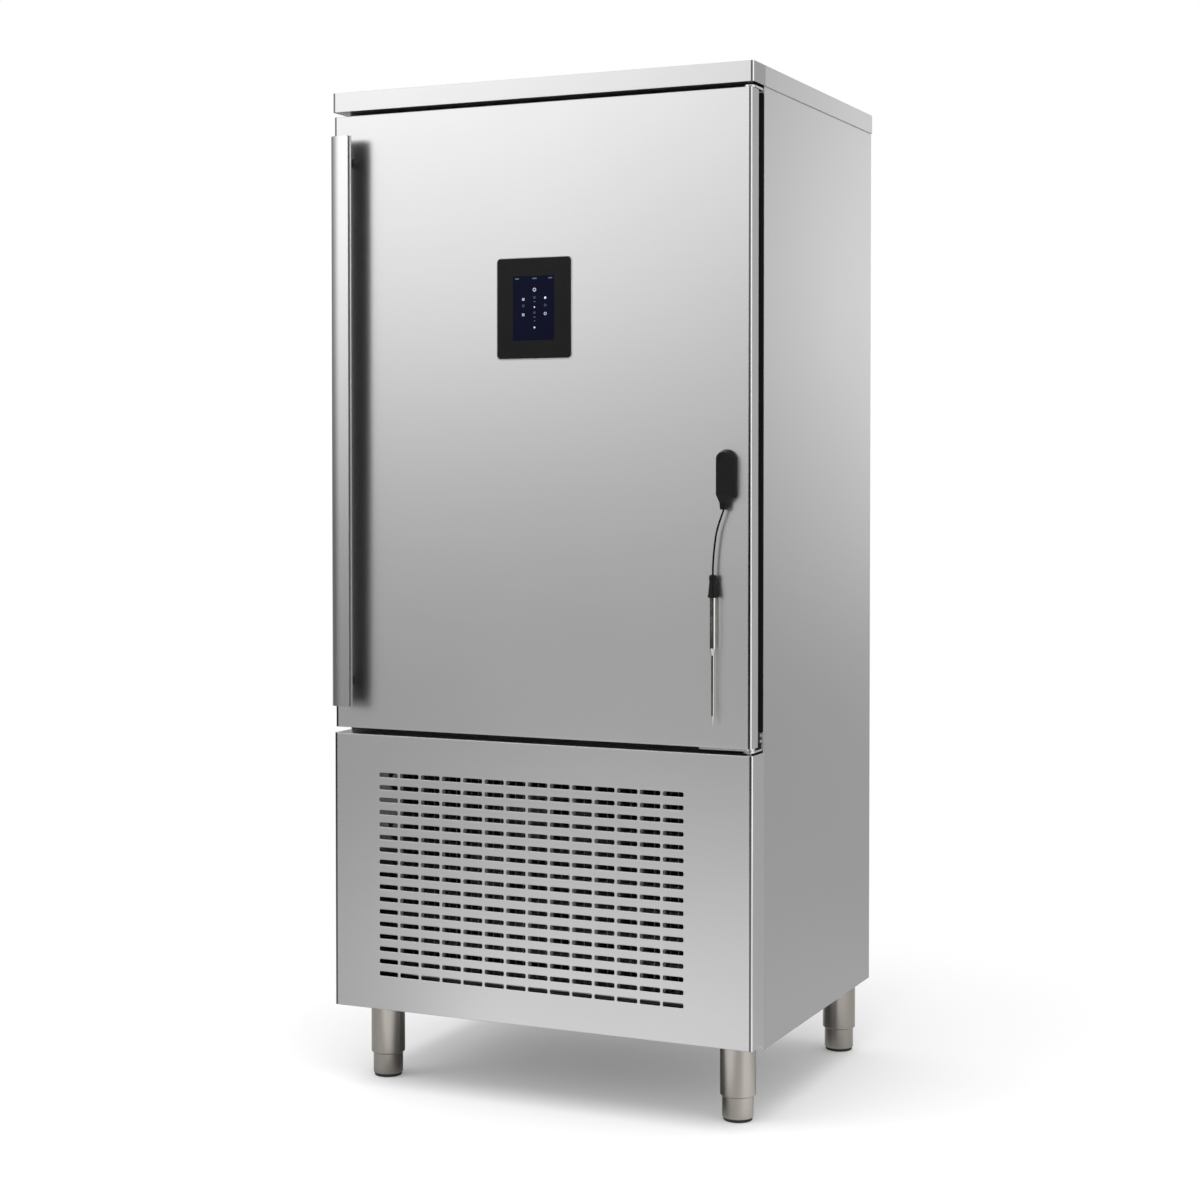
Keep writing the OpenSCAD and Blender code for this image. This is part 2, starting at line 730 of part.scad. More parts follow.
// Fan guards: flat rings welded on eight spokes, which stand off the panel on pegs
guard_out = 15;
guard_bar = 3;
guard_ring_t = 2;
guard_ring_r = fan_hole_d / 2 - 3;
peg_r = guard_ring_r + 9;
peg_d = guard_bar + 5;
peg_h = guard_out - 2 * guard_ring_t;
module fan_guard() {
  rings = 7;
  weld = 0.4;
  ring_step = guard_ring_r / rings;
  for (i = [1:rings]) translate([0, 0, guard_out - guard_ring_t]) difference() {
    cylinder(r = ring_step * i, h = guard_ring_t);
    translate([0, 0, -eps]) cylinder(r = ring_step * i - guard_bar, h = guard_ring_t + 2 * eps);
  }
  for (a = [0:45:315]) rotate([0, 0, a]) translate([ring_step - 2, -guard_bar / 2, peg_h])
    cube([peg_r + 4 - ring_step, guard_bar, guard_ring_t + weld]);
}

module fan_guards()
  color("silver") for (z = fan_z)
    translate([0, fan_panel_y, z]) rotate([90, 0, 0]) fan_guard();

module guard_pegs()
  color("silver") for (z = fan_z, a = [0:45:315])
    translate([0, fan_panel_y, z]) rotate([90, 0, 0]) rotate([0, 0, a])
      translate([peg_r, 0, 0]) cylinder(d = peg_d, h = peg_h);

chamber_rotor_y = fan_panel_y + fan_panel_t + 6;
chamber_rotor_l = 22;
chamber_motor_y = chamber_rotor_y + chamber_rotor_l + 3;
chamber_motor_l = 22;
module chamber_fan(i)
  translate([0, chamber_rotor_y, fan_z[i]]) rotate([-90, 0, 0])
    fan_blades(fan_d, 70, chamber_rotor_l, 5);

module upper_chamber_fan() color("#26282b") chamber_fan(1);
module lower_chamber_fan() color("#26282b") chamber_fan(0);

// Motors of the chamber fans, each on four arms that reach forward to the fan panel
module chamber_fan_motors() {
  arm_r = fan_hole_d / 2 + 8;
  arm_y = chamber_motor_y + 6;
  color("#4a4d52") for (z = fan_z) translate([0, 0, z]) {
    translate([0, chamber_motor_y, 0]) fan_motor(74, chamber_motor_l, 14);
    for (a = [45:90:315]) rotate([0, -a, 0]) {
      block(30, arm_r + 4, arm_y, arm_y + 3, -8, 8);
      block(arm_r, arm_r + 4, fan_panel_y + fan_panel_t, arm_y + 3, -8, 8);
    }
  }
}

// A tray rack: rails with a ledge and a web, on two uprights held off the wall by pegs
rack_y0 = liner_y0 + 14;
rack_y1 = fan_panel_y - guard_out - 6;
web_x = tray_w / 2 + tray_play;
upright_t = 3;
upright_w = 34;
rails = floor((chamber_z1 - chamber_z0 - rail_first - rail_last) / rail_pitch);
module tray_rail(z)
  translate([0, rack_y1, z]) rotate([90, 0, 0]) linear_extrude(rack_y1 - rack_y0)
    polygon([[web_x - ledge_w, 0], [web_x, 0], [web_x, -web_h], [web_x - rail_t, -web_h],
             [web_x - rail_t, -rail_t], [web_x - ledge_w, -rail_t]]);

module tray_rack() {
  for (i = [0:rails]) tray_rail(chamber_z0 + rail_first + i * rail_pitch);
  for (y = [rack_y0 + 40, rack_y1 - 40 - upright_w]) {
    block(web_x, web_x + upright_t, y, y + upright_w, chamber_z0, chamber_z1 - 20);
    for (z = [chamber_z0 + 80, (chamber_z0 + chamber_z1) / 2, chamber_z1 - 80])
      bar_x(y + upright_w / 2, z, web_x + upright_t, chamber_x, 14);
  }
}

module left_tray_rack() color("silver") mirror([1, 0, 0]) tray_rack();
module right_tray_rack() color("silver") tray_rack();

// ---------------------------------------------------------------- services

// The drain: a funnel under the chamber floor and a spigot below the base pan
spigot_low = leg_h - 34;
module drain_spigot()
  color("#3a3c40") translate([drain_x, drain_y, 0]) difference() {
    union() {
      translate([0, 0, spigot_low]) cylinder(d = drain_d, h = chamber_z0 - liner_t - spigot_low);
      translate([0, 0, leg_h - 5]) cylinder(d = drain_d + 14, h = 5);
    }
    translate([0, 0, spigot_low - eps]) cylinder(d = drain_d - 4, h = chamber_z0 - spigot_low + 2);
  }

// Inlet for the mains lead, in the rear grille
gland_x = -inner_x + 90;
gland_z = leg_h + 36;
gland_bore_d = 13;
module cable_gland()
  color("#1c1c1e") difference() {
    union() {
      bar_y(gland_x, gland_z, grille_y + skin_t, grille_y + skin_t + 5, 30);
      bar_y(gland_x, gland_z, grille_y + skin_t + 5, back_y - 3, 24);
      bar_y(gland_x, gland_z, grille_y - 12, grille_y + skin_t + 1, gland_bore_d + 4);
      bar_y(gland_x, gland_z, grille_y - 6, grille_y, 26);
    }
    bar_y(gland_x, gland_z, grille_y - 20, back_y, gland_bore_d);
  }

// ---------------------------------------------------------------- hinges

// A hinge arm with its pin; z0 is the arm's underside and the pin goes up
arm_w = 22;
module hinge_arm(z0, up) {
  flange_h = up ? 31 : 8;
  flange_x = pivot_x + 1.5;
  translate([pivot_x, pivot_y, z0]) cylinder(d = arm_w, h = arm_t);
  difference() {
    block(pivot_x - arm_w / 2, pivot_x + arm_w / 2 - 0.5, pivot_y, case_y, z0, z0 + arm_t);
    translate([pivot_x, pivot_y, z0 - eps]) cylinder(d = pin_d, h = arm_t + 2 * eps);
  }
  block(flange_x, inner_x, case_y - 4, case_y, up ? z0 : z0 - flange_h + arm_t,
        up ? z0 + flange_h : z0 + arm_t);
}

bottom_arm_z = door_z0 - strip_t - washer_gap - arm_t;
top_arm_z = door_z1 + washer_gap + 1;
module bottom_hinge_bracket() {
  pin_z0 = bottom_arm_z - 2;
  color("silver") {
    hinge_arm(bottom_arm_z, true);
    translate([pivot_x, pivot_y, pin_z0])
      cylinder(d = pin_d, h = door_z0 - pin_z0 + pin_l);
  }
}

module top_hinge_bracket()
  color("silver") {
    hinge_arm(top_arm_z, false);
    translate([pivot_x, pivot_y, door_z1 - pin_l])
      cylinder(d = pin_d, h = top_arm_z + arm_t + 1.5 - door_z1 + pin_l);
  }

// Bushes in the door, and the bright strip that carries the lower one
module hinge_bushes() {
  bore = pin_d + 2 * pin_gap;
  bush_l = pin_l + 4;
  color("whitesmoke") {
    difference() {
      union() {
        translate([pivot_x, pivot_y, door_z0]) cylinder(d = bush_d, h = bush_l);
        block(pivot_x - strip_l + 3, pivot_x + 3, front_y + 4, front_y + door_shell_d - 3,
              door_z0 - strip_t, door_z0);
        translate([pivot_x, pivot_y, door_z0 - strip_t]) cylinder(d = 20, h = strip_t);
      }
      translate([pivot_x, pivot_y, door_z0 - strip_t - eps])
        cylinder(d = bore, h = strip_t + pin_l + 1);
    }
    difference() {
      translate([pivot_x, pivot_y, door_z1 - bush_l]) cylinder(d = bush_d, h = bush_l);
      translate([pivot_x, pivot_y, door_z1 - pin_l - 0.5]) cylinder(d = bore, h = pin_l + 1);
    }
  }
}

// ---------------------------------------------------------------- door

door_h = door_z1 - door_z0;
door_w = 2 * door_x;
profile_x = door_x - profile_inset;
profile_z0 = door_z0 + profile_inset / 2;
profile_z1 = door_z1 - profile_inset / 2;
shell_back_y = front_y + door_shell_d;
profile_back_y = shell_back_y + profile_d;
lining_x = chamber_x - plug_gap;
lining_z0 = chamber_z0 + plug_gap;
lining_z1 = chamber_z1 - plug_gap;
lining_t = 1;
lining_y = case_y + plug_depth;
flange_reach = 18;

// Pockets that the bushes and the display take in the door's foam
module bush_pockets(gap) {
  translate([pivot_x, pivot_y, door_z0 - 1]) cylinder(d = bush_d + gap, h = pin_l + 5 + gap);
  translate([pivot_x, pivot_y, door_z1 - pin_l - 4 - gap]) cylinder(d = bush_d + gap, h = pin_l + 5 + gap);
}

module door_outer_panel() {
  lip_w = 1.6;
  lip_out = 0.8;
  color("gainsboro") difference() {
    union() {
      translate([0, front_y, door_z0]) steel_tray(door_w, door_shell_d, door_h, bend_r, door_skin_t);
      translate([bezel_x, 0, bezel_z]) upright_plate(front_y - lip_out, lip_out + 0.2)
        round_rect(bezel_w + 2 * lip_w, bezel_h + 2 * lip_w, bezel_r + lip_w);
    }
    translate([bezel_x, 0, bezel_z]) upright_plate(front_y - 3, 8)
      round_rect(bezel_w, bezel_h, bezel_r);
    bush_pockets(0.02);
    bar_y(plug_x, plug_z, front_y - 1, front_y + 3, socket_d);
  }
}

housing_w = bezel_w - 16;
housing_h = bezel_h - 16;
socket_d = 16;
socket_l = 24;
module door_insulation() {
  color("khaki") difference() {
    union() {
      block(-door_x + door_skin_t, door_x - door_skin_t, front_y + door_skin_t, shell_back_y,
            door_z0 + door_skin_t, door_z1 - door_skin_t);
      block(-lining_x - flange_reach, lining_x + flange_reach, shell_back_y, profile_back_y,
            lining_z0 - flange_reach, lining_z1 + flange_reach);
      block(-lining_x + lining_t, lining_x - lining_t, profile_back_y, lining_y - lining_t,
            lining_z0 + lining_t, lining_z1 - lining_t);
    }
    for (side = [-1, 1]) translate([side * door_x, front_y, door_z0])
      cylinder(r = bend_r + 2, h = door_h);
    bush_pockets(0.4);
    translate([bezel_x, 0, bezel_z]) upright_plate(front_y, housing_d + 0.2)
      square([bezel_w + 1, bezel_h + 1], center = true);
    bar_y(plug_x, plug_z, front_y, front_y + socket_l + 0.2, socket_d + 0.4);
  }
}

// The door's lining stands into the opening, with a flange under the gasket's inner edge
module door_inner_panel() {
  color("lightgray") difference() {
    union() {
      block(-lining_x, lining_x, profile_back_y, lining_y, lining_z0, lining_z1);
      block(-lining_x - flange_reach, lining_x + flange_reach, profile_back_y,
            profile_back_y + lining_t, lining_z0 - flange_reach, lining_z1 + flange_reach);
    }
    block(-lining_x + lining_t, lining_x - lining_t, profile_back_y - eps, lining_y - lining_t,
          lining_z0 + lining_t, lining_z1 - lining_t);
  }
}

module door_edge_profile() {
  color("#161618") difference() {
    block(-profile_x, profile_x, shell_back_y, profile_back_y, profile_z0, profile_z1);
    block(-lining_x - flange_reach, lining_x + flange_reach, shell_back_y - eps,
          profile_back_y + eps, lining_z0 - flange_reach, lining_z1 + flange_reach);
  }
}

// The gasket: a magnetic strip with a soft hollow bellows, welded into one loop
module door_gasket() {
  y1 = case_y - gasket_gap;
  out_x = profile_x - 2;
  out_z0 = profile_z0 + 2;
  out_z1 = profile_z1 - 2;
  color("#3a3c3f") difference() {
    block(-out_x, out_x, profile_back_y, y1, out_z0, out_z1);
    block(-out_x + gasket_w, out_x - gasket_w, profile_back_y - eps, y1 + eps,
          out_z0 + gasket_w, out_z1 - gasket_w);
    // The waist of the bellows runs round the outside
    difference() {
      block(-out_x - eps, out_x + eps, profile_back_y + 4, profile_back_y + 7,
            out_z0 - eps, out_z1 + eps);
      block(-out_x + 3, out_x - 3, profile_back_y + 3, profile_back_y + 8,
            out_z0 + 3, out_z1 - 3);
    }
  }
}

// ---------------------------------------------------------------- handle

handle_x = -door_x + handle_in + handle_w / 2;
handle_z0 = door_z0 + handle_margin;
handle_z1 = door_z1 - handle_margin + 2;
handle_y0 = front_y - handle_out;

lip_y = 4;
lip_t = 2.5;
groove_in = 3;
web_d = 8;
handle_left = handle_x - handle_w / 2;

// The handle's outline in plan: rounded back from the middle to its left edge, flat to the right
module handle_outline() {
  r = (handle_w * handle_w / 4 + handle_bow * handle_bow) / (2 * handle_bow);
  intersection() {
    union() {
      translate([0, r]) circle(r, $fn = 96);
      square([handle_w / 2, 2 * r]);
    }
    translate([-handle_w / 2, 0]) square([handle_w, handle_d]);
  }
}

// The profile: a face, a full wall at its left, and at its right a groove and a lip
module handle_profile()
  color("silver") translate([handle_x, handle_y0, handle_z0])
    linear_extrude(handle_z1 - handle_z0) {
      difference() {
        handle_outline();
        translate([0, handle_t]) intersection() {
          handle_outline();
          translate([-handle_w / 2 + handle_t, 0])
            square([handle_w - groove_in - 2 * handle_t, handle_d]);
        }
        translate([handle_w / 2 - groove_in, handle_t]) square([groove_in + eps, handle_d]);
        translate([handle_w / 2 - groove_in - handle_t - eps, web_d]) square([handle_w, handle_d]);
      }
      translate([handle_w / 2 - groove_in - 0.01, lip_y])
        square([groove_in + handle_lip + 0.01, lip_t]);
    }

// A dark lining closes the back of the handle
module handle_lining()
  color("#1c1c1e") block(handle_left + handle_t, handle_left + handle_w - groove_in,
    handle_y0 + web_d, handle_y0 + handle_d, handle_z0, handle_z1);

module handle_standoffs()
  color("#1c1c1e") for (z = [handle_z0 + standoff_in, handle_z1 - standoff_in])
    bar_y(handle_x, z, handle_y0 + handle_d, front_y, standoff_d);

// ---------------------------------------------------------------- display

module display_bezel()
  color("#0e0f11") translate([bezel_x, 0, bezel_z]) difference() {
    upright_plate(front_y - bezel_out, bezel_out + bezel_sink)
      round_rect(bezel_w - 0.6, bezel_h - 0.6, bezel_r - 0.3);
    upright_plate(front_y - bezel_out - 1, 3) round_rect(screen_w, screen_h, 1.5);
  }

module display_screen()
  color("#0c1022") translate([bezel_x, 0, bezel_z])
    upright_plate(front_y - bezel_out + 0.3, 1.7) round_rect(screen_w, screen_h, 1.5);

module display_housing()
  color("#2b2d30") difference() {
    translate([bezel_x, 0, bezel_z]) upright_plate(front_y + bezel_sink, housing_d - bezel_sink)
      square([housing_w, housing_h], center = true);
    translate([bezel_x, 0, bezel_z]) upright_plate(front_y + bezel_sink + 12, housing_d)
      square([housing_w - 6, housing_h - 6], center = true);
  }

// ---------------------------------------------------------------- core probe

module probe_socket()
  color("silver") difference() {
    bar_y(plug_x, plug_z, front_y, front_y + socket_l, socket_d);
    bar_y(plug_x, plug_z, front_y - eps, front_y + contact_l + 2, contact_d + 2 * contact_gap);
  }

// The plug's outline on the door: straight sides and a round top
module plug_outline(w, h) {
  r = w / 2 - 0.01;
  translate([-w / 2, -h / 2]) square([w, h - r]);
  translate([0, h / 2 - r]) circle(r);
}

// The plug: a bevelled body, a funnel below it and the neck that holds the cord
module probe_plug() {
  neck_d = 15;
  neck_h = 13;
  top_w = plug_w - 9;
  bottom = -plug_h / 2;
  recess_d = 14;
  color("#151517") {
    difference() {
      translate([plug_x, 0, plug_z]) {
        upright_plate(front_y - 7, 6.7) plug_outline(plug_w, plug_h);
        hull() {
          upright_plate(front_y - 8, 1.2) plug_outline(plug_w, plug_h, $fn = 32);
          upright_plate(front_y - plug_out, 1) plug_outline(top_w, plug_h - 9, $fn = 32);
        }
      }
      bar_y(plug_x, plug_z + plug_h / 2 - 5 - top_w / 2, front_y - plug_out - eps,
            front_y - plug_out + 1.2, recess_d);
    }
    hull() {
      translate([plug_x, 0, plug_z]) {
        block(-plug_w / 2, plug_w / 2, front_y - 8, front_y - 1, bottom, bottom + 2);
        block(-top_w / 2, top_w / 2, front_y - plug_out, front_y - plug_out + 1,
              bottom + 4.5, bottom + 6);
      }
      translate([plug_x + neck_dx, probe_y, neck_z + neck_h - 1])
        cylinder(d = neck_d, h = 1, $fn = 32);
    }
    translate([plug_x + neck_dx, probe_y, neck_z])
      cylinder(d1 = neck_d - 3, d2 = neck_d, h = neck_h);
    bar_y(plug_x, plug_z, front_y - 2, front_y + contact_l, contact_d);
  }
}

// The cord: a ring of cord_sides points at each point of the route, joined into a closed tube
cord_sides = 8;
function at(i) = let (p = cord_points[i]) [route_x0 + p[0], probe_y + p[1], route_z0 + p[2]];
function unit(v) = v / norm(v);
function tangent(i) =
  i == 0 || i == len(cord_points) - 1 ? [0, 0, -1] : unit(at(i + 1) - at(i - 1));
function ring(i) =
  let (t = tangent(i), side = [0, 1, 0], up = cross(t, side))
  [for (k = [0:cord_sides - 1])
    at(i) + cord_d / 2 * (cos(k * 360 / cord_sides) * side + sin(k * 360 / cord_sides) * up)];
function quad(i, k) =
  let (a = i * cord_sides + k, b = i * cord_sides + (k + 1) % cord_sides,
       c = b + cord_sides, d = a + cord_sides)
  [[a, b, c], [a, c, d]];
module probe_cord() {
  n = len(cord_points);
  color("#1c1c1e") polyhedron(
    points = [for (i = [0:n - 1]) each ring(i)],
    faces = concat(
      [for (i = [0:n - 2], k = [0:cord_sides - 1]) each quad(i, k)],
      [[for (k = [0:cord_sides - 1]) cord_sides - 1 - k]],
      [[for (k = [0:cord_sides - 1]) (n - 1) * cord_sides + k]]
    ));
}

module probe_grip()
  color("#151517") translate([probe_x, probe_y, grip_z1 - grip_h]) rotate_extrude()
    polygon([[0, 0], [7.8, 0], [8.5, 1], [8.5, 4], [7.8, 5.2], [5.7, grip_h - 11],
             [5.7, grip_h - 10], [6.4, grip_h - 9], [6.4, grip_h - 3], [5.4, grip_h - 1],
             [3.8, grip_h], [0, grip_h]]);

module probe_needle() {
  z1 = grip_z1 - grip_h;
  taper = 12;
  point = 18;
  color("silver") translate([probe_x, probe_y, z1 - stem_h - needle_h]) rotate_extrude()
    polygon([[0, 0], [needle_d / 2, point], [needle_d / 2, needle_h - taper],
             [stem_d / 2, needle_h], [stem_d / 2, needle_h + stem_h], [0, needle_h + stem_h]]);
}

// ---------------------------------------------------------------- all the pieces

top_cover();
top_fascia();
left_side_panel();
right_side_panel();
back_panel();
rear_grille();
lower_front_panel();
opening_frame();
insulation_shell();
chamber_liner();
casing_floor();
base_pan();
leg_tubes();
compressor();
compressor_mounts();
condenser_coil();
condenser_shroud();
condenser_fan_motor();
liquid_receiver();
refrigerant_pipes();
electrical_box();
evaporator_coil();
fan_panel();
fan_guards();
guard_pegs();
chamber_fan_motors();
left_tray_rack();
right_tray_rack();
top_hinge_bracket();
bottom_hinge_bracket();
drain_spigot();
cable_gland();
door_outer_panel();
door_insulation();
door_inner_panel();
door_edge_profile();
door_gasket();
handle_profile();
handle_lining();
handle_standoffs();
display_housing();
display_bezel();
display_screen();
hinge_bushes();
probe_socket();
probe_plug();
probe_cord();
probe_grip();
probe_needle();
condenser_fan();
upper_chamber_fan();
lower_chamber_fan();
front_left_foot();
front_right_foot();
back_left_foot();
back_right_foot();
front_left_pad();
front_right_pad();
back_left_pad();
back_right_pad();
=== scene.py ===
"""The looks of a blast chiller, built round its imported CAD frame. Lengths are in metres."""
import json
import math

import bmesh
import bpy
from mathutils import Matrix, Vector


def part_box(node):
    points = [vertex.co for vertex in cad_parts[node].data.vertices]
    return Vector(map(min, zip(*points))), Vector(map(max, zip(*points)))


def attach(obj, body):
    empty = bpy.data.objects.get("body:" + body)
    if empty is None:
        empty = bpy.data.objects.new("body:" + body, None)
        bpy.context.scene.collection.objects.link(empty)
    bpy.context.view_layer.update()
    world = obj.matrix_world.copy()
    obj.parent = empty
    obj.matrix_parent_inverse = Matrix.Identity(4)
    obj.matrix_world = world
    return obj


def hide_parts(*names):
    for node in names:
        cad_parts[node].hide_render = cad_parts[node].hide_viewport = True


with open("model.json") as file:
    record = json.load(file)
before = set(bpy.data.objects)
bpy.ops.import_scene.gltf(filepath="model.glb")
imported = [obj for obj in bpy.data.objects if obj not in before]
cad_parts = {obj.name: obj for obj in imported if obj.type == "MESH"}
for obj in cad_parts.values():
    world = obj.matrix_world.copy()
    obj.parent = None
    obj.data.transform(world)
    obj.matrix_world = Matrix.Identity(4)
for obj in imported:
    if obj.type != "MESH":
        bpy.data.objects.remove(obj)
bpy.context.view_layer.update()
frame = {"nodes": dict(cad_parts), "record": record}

nodes = frame["nodes"]


def corners(node):
    """The lowest and highest corner of a CAD node, as two vectors."""
    low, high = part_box(node)
    return Vector(low), Vector(high)


def place(name, data):
    """An object in the scene for its data."""
    obj = bpy.data.objects.new(name, data)
    bpy.context.collection.objects.link(obj)
    return obj


door_low, door_high = corners("door_outer_panel")
panel_low, panel_high = corners("lower_front_panel")
FRONT_Y = panel_low.y

# ------------------------------------------------------------------ camera

# Fitted to the cabinet's edges in the photograph
PHOTO_SIZE = 1200
FOCAL_PX = 2220.3
SENSOR_W = 36.0
CAMERA_AT = (1.7042, FRONT_Y - 3.4734, 1.1268)
CAMERA_YAW = 0.42656
CAMERA_PITCH = -0.02188
SHIFT_UP = -0.0715
CLIP_NEAR = 0.05
CLIP_FAR = 80


def make_camera():
    """The camera at the photograph's viewing angle."""
    data = bpy.data.cameras.new("photo_camera")
    data.sensor_width = SENSOR_W
    data.lens = FOCAL_PX / PHOTO_SIZE * SENSOR_W
    data.shift_y = SHIFT_UP
    data.clip_start = CLIP_NEAR
    data.clip_end = CLIP_FAR
    cam = place("photo_camera", data)
    cam.location = CAMERA_AT
    cam.rotation_euler = (math.pi / 2 + CAMERA_PITCH, 0, CAMERA_YAW)
    bpy.context.scene.camera = cam


make_camera()

# ------------------------------------------------------------------ the probe's cord

CORD_D = 0.0032
PLUG_X = door_high.x - 0.0425
PLUG_Z = door_low.z + 0.462
PROBE_Y = FRONT_Y - 0.012
# Points from the plug's neck to the grip, measured from the plug's middle
CORD_ROUTE = [
    (-0.0025, 0, -0.0605), (-0.0046, 0, -0.067), (-0.0073, 0, -0.074), (-0.0099, 0, -0.081),
    (-0.0122, 0, -0.088), (-0.0142, 0, -0.095), (-0.0158, 0, -0.102), (-0.0170, 0, -0.109),
    (-0.0180, 0, -0.116), (-0.0189, 0, -0.123), (-0.0197, 0, -0.130), (-0.0204, 0, -0.138),
    (-0.0210, 0, -0.146), (-0.0214, 0, -0.154), (-0.0217, 0, -0.162), (-0.0218, 0, -0.170),
]


def make_cord(material):
    """The lead from the plug's neck down to the grip, as one smooth curve."""
    data = bpy.data.curves.new("probe_lead", "CURVE")
    data.dimensions = "3D"
    data.bevel_depth = CORD_D / 2
    data.bevel_resolution = 4
    data.use_fill_caps = True
    spline = data.splines.new("POLY")
    spline.points.add(len(CORD_ROUTE) - 1)
    for point, (x, y, z) in zip(spline.points, CORD_ROUTE):
        point.co = (PLUG_X + x, PROBE_Y + y, PLUG_Z + z, 1)
    data.materials.append(material)
    lead = place("probe_lead", data)
    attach(lead, "probe")
    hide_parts("probe_cord")


# ------------------------------------------------------------------ materials

# Brushed steel: the size of its lines, and how far its edges look rounded
GRAIN_LONG = 0.12
GRAIN_FINE = 0.00035
EDGE_R = 0.0009
FRONT_EDGE_R = 0.0022
# Anisotropic Rotation that turns the tangent by a right angle
RIGHT_ANGLE = 0.25

# The upward part of a face's normal where it starts to count as level, and where it fully does
LEVEL_FROM = 0.70
LEVEL_FULL = 0.75

# A folded edge of the front's sheets: each distance is measured inwards from the flank, and the
# sheet is dark from LINE_W, pale from CREST_W and glossy from FOLD_W on, up to the flank itself.
# The dark line is a painted reflection of dark surroundings, and the pale crest is a painted
# highlight.
LINE_W = 0.0058
PAINTED_LINE_DARK = 0.14
CREST_W = 0.0026
PAINTED_CREST_PALE = 0.96
STEP_W = 0.0004
FOLD_W = 0.0042
FOLD_FADE = 0.0025
FOLD_ROUGH = 0.09
FLANK_W = 0.0003
FLANK_NEAR = 0.0001
FLANK_ROUGH = 0.5

# Sockets of a Mix node for each kind of value: the two inputs and the output
MIX_SOCKETS = {"FLOAT": (2, 3, 0), "VECTOR": (4, 5, 1), "RGBA": (6, 7, 2)}


def grey(level):
    """A neutral colour."""
    return (level, level, level)


class Nodes:
    """A node tree under construction. A value is an output socket, or a plain number or colour."""

    def __init__(self, tree):
        self.tree = tree

    def add(self, kind, **values):
        """A node with its settings."""
        node = self.tree.nodes.new(kind)
        for key, value in values.items():
            setattr(node, key, value)
        return node

    def join(self, value, socket):
        """A value linked to a socket, or set on it."""
        if isinstance(value, bpy.types.NodeSocket):
            self.tree.links.new(value, socket)
        else:
            socket.default_value = value

    def calc(self, operation, *values):
        """The result of a Math node's operation on values."""
        node = self.add("ShaderNodeMath", operation=operation)
        for value, socket in zip(values, node.inputs):
            self.join(value, socket)
        return node.outputs[0]

    def axes(self, vector):
        """The X, Y and Z of a vector."""
        node = self.add("ShaderNodeSeparateXYZ")
        self.join(vector, node.inputs[0])
        return node.outputs

    def ramp(self, value, low, high, start=0.3, end=0.7):
        """A value taken from the range start to end, to the range low to high."""
        node = self.add("ShaderNodeMapRange")
        node.inputs["From Min"].default_value = start
        node.inputs["From Max"].default_value = end
        node.inputs["To Min"].default_value = low
        node.inputs["To Max"].default_value = high
        self.join(value, node.inputs["Value"])
        return node.outputs["Result"]

    def span(self, value, start, end):
        """A value taken from the range start to end, to 0 to 1."""
        return self.ramp(value, 0, 1, start, end)

    def mix(self, kind, factor, a, b):
        """Between two values of a kind in MIX_SOCKETS."""
        node = self.add("ShaderNodeMix", data_type=kind)
        first, second, out = MIX_SOCKETS[kind]
        for given, index in ((factor, 0), (a, first), (b, second)):
            self.join(given, node.inputs[index])
        return node.outputs[out]


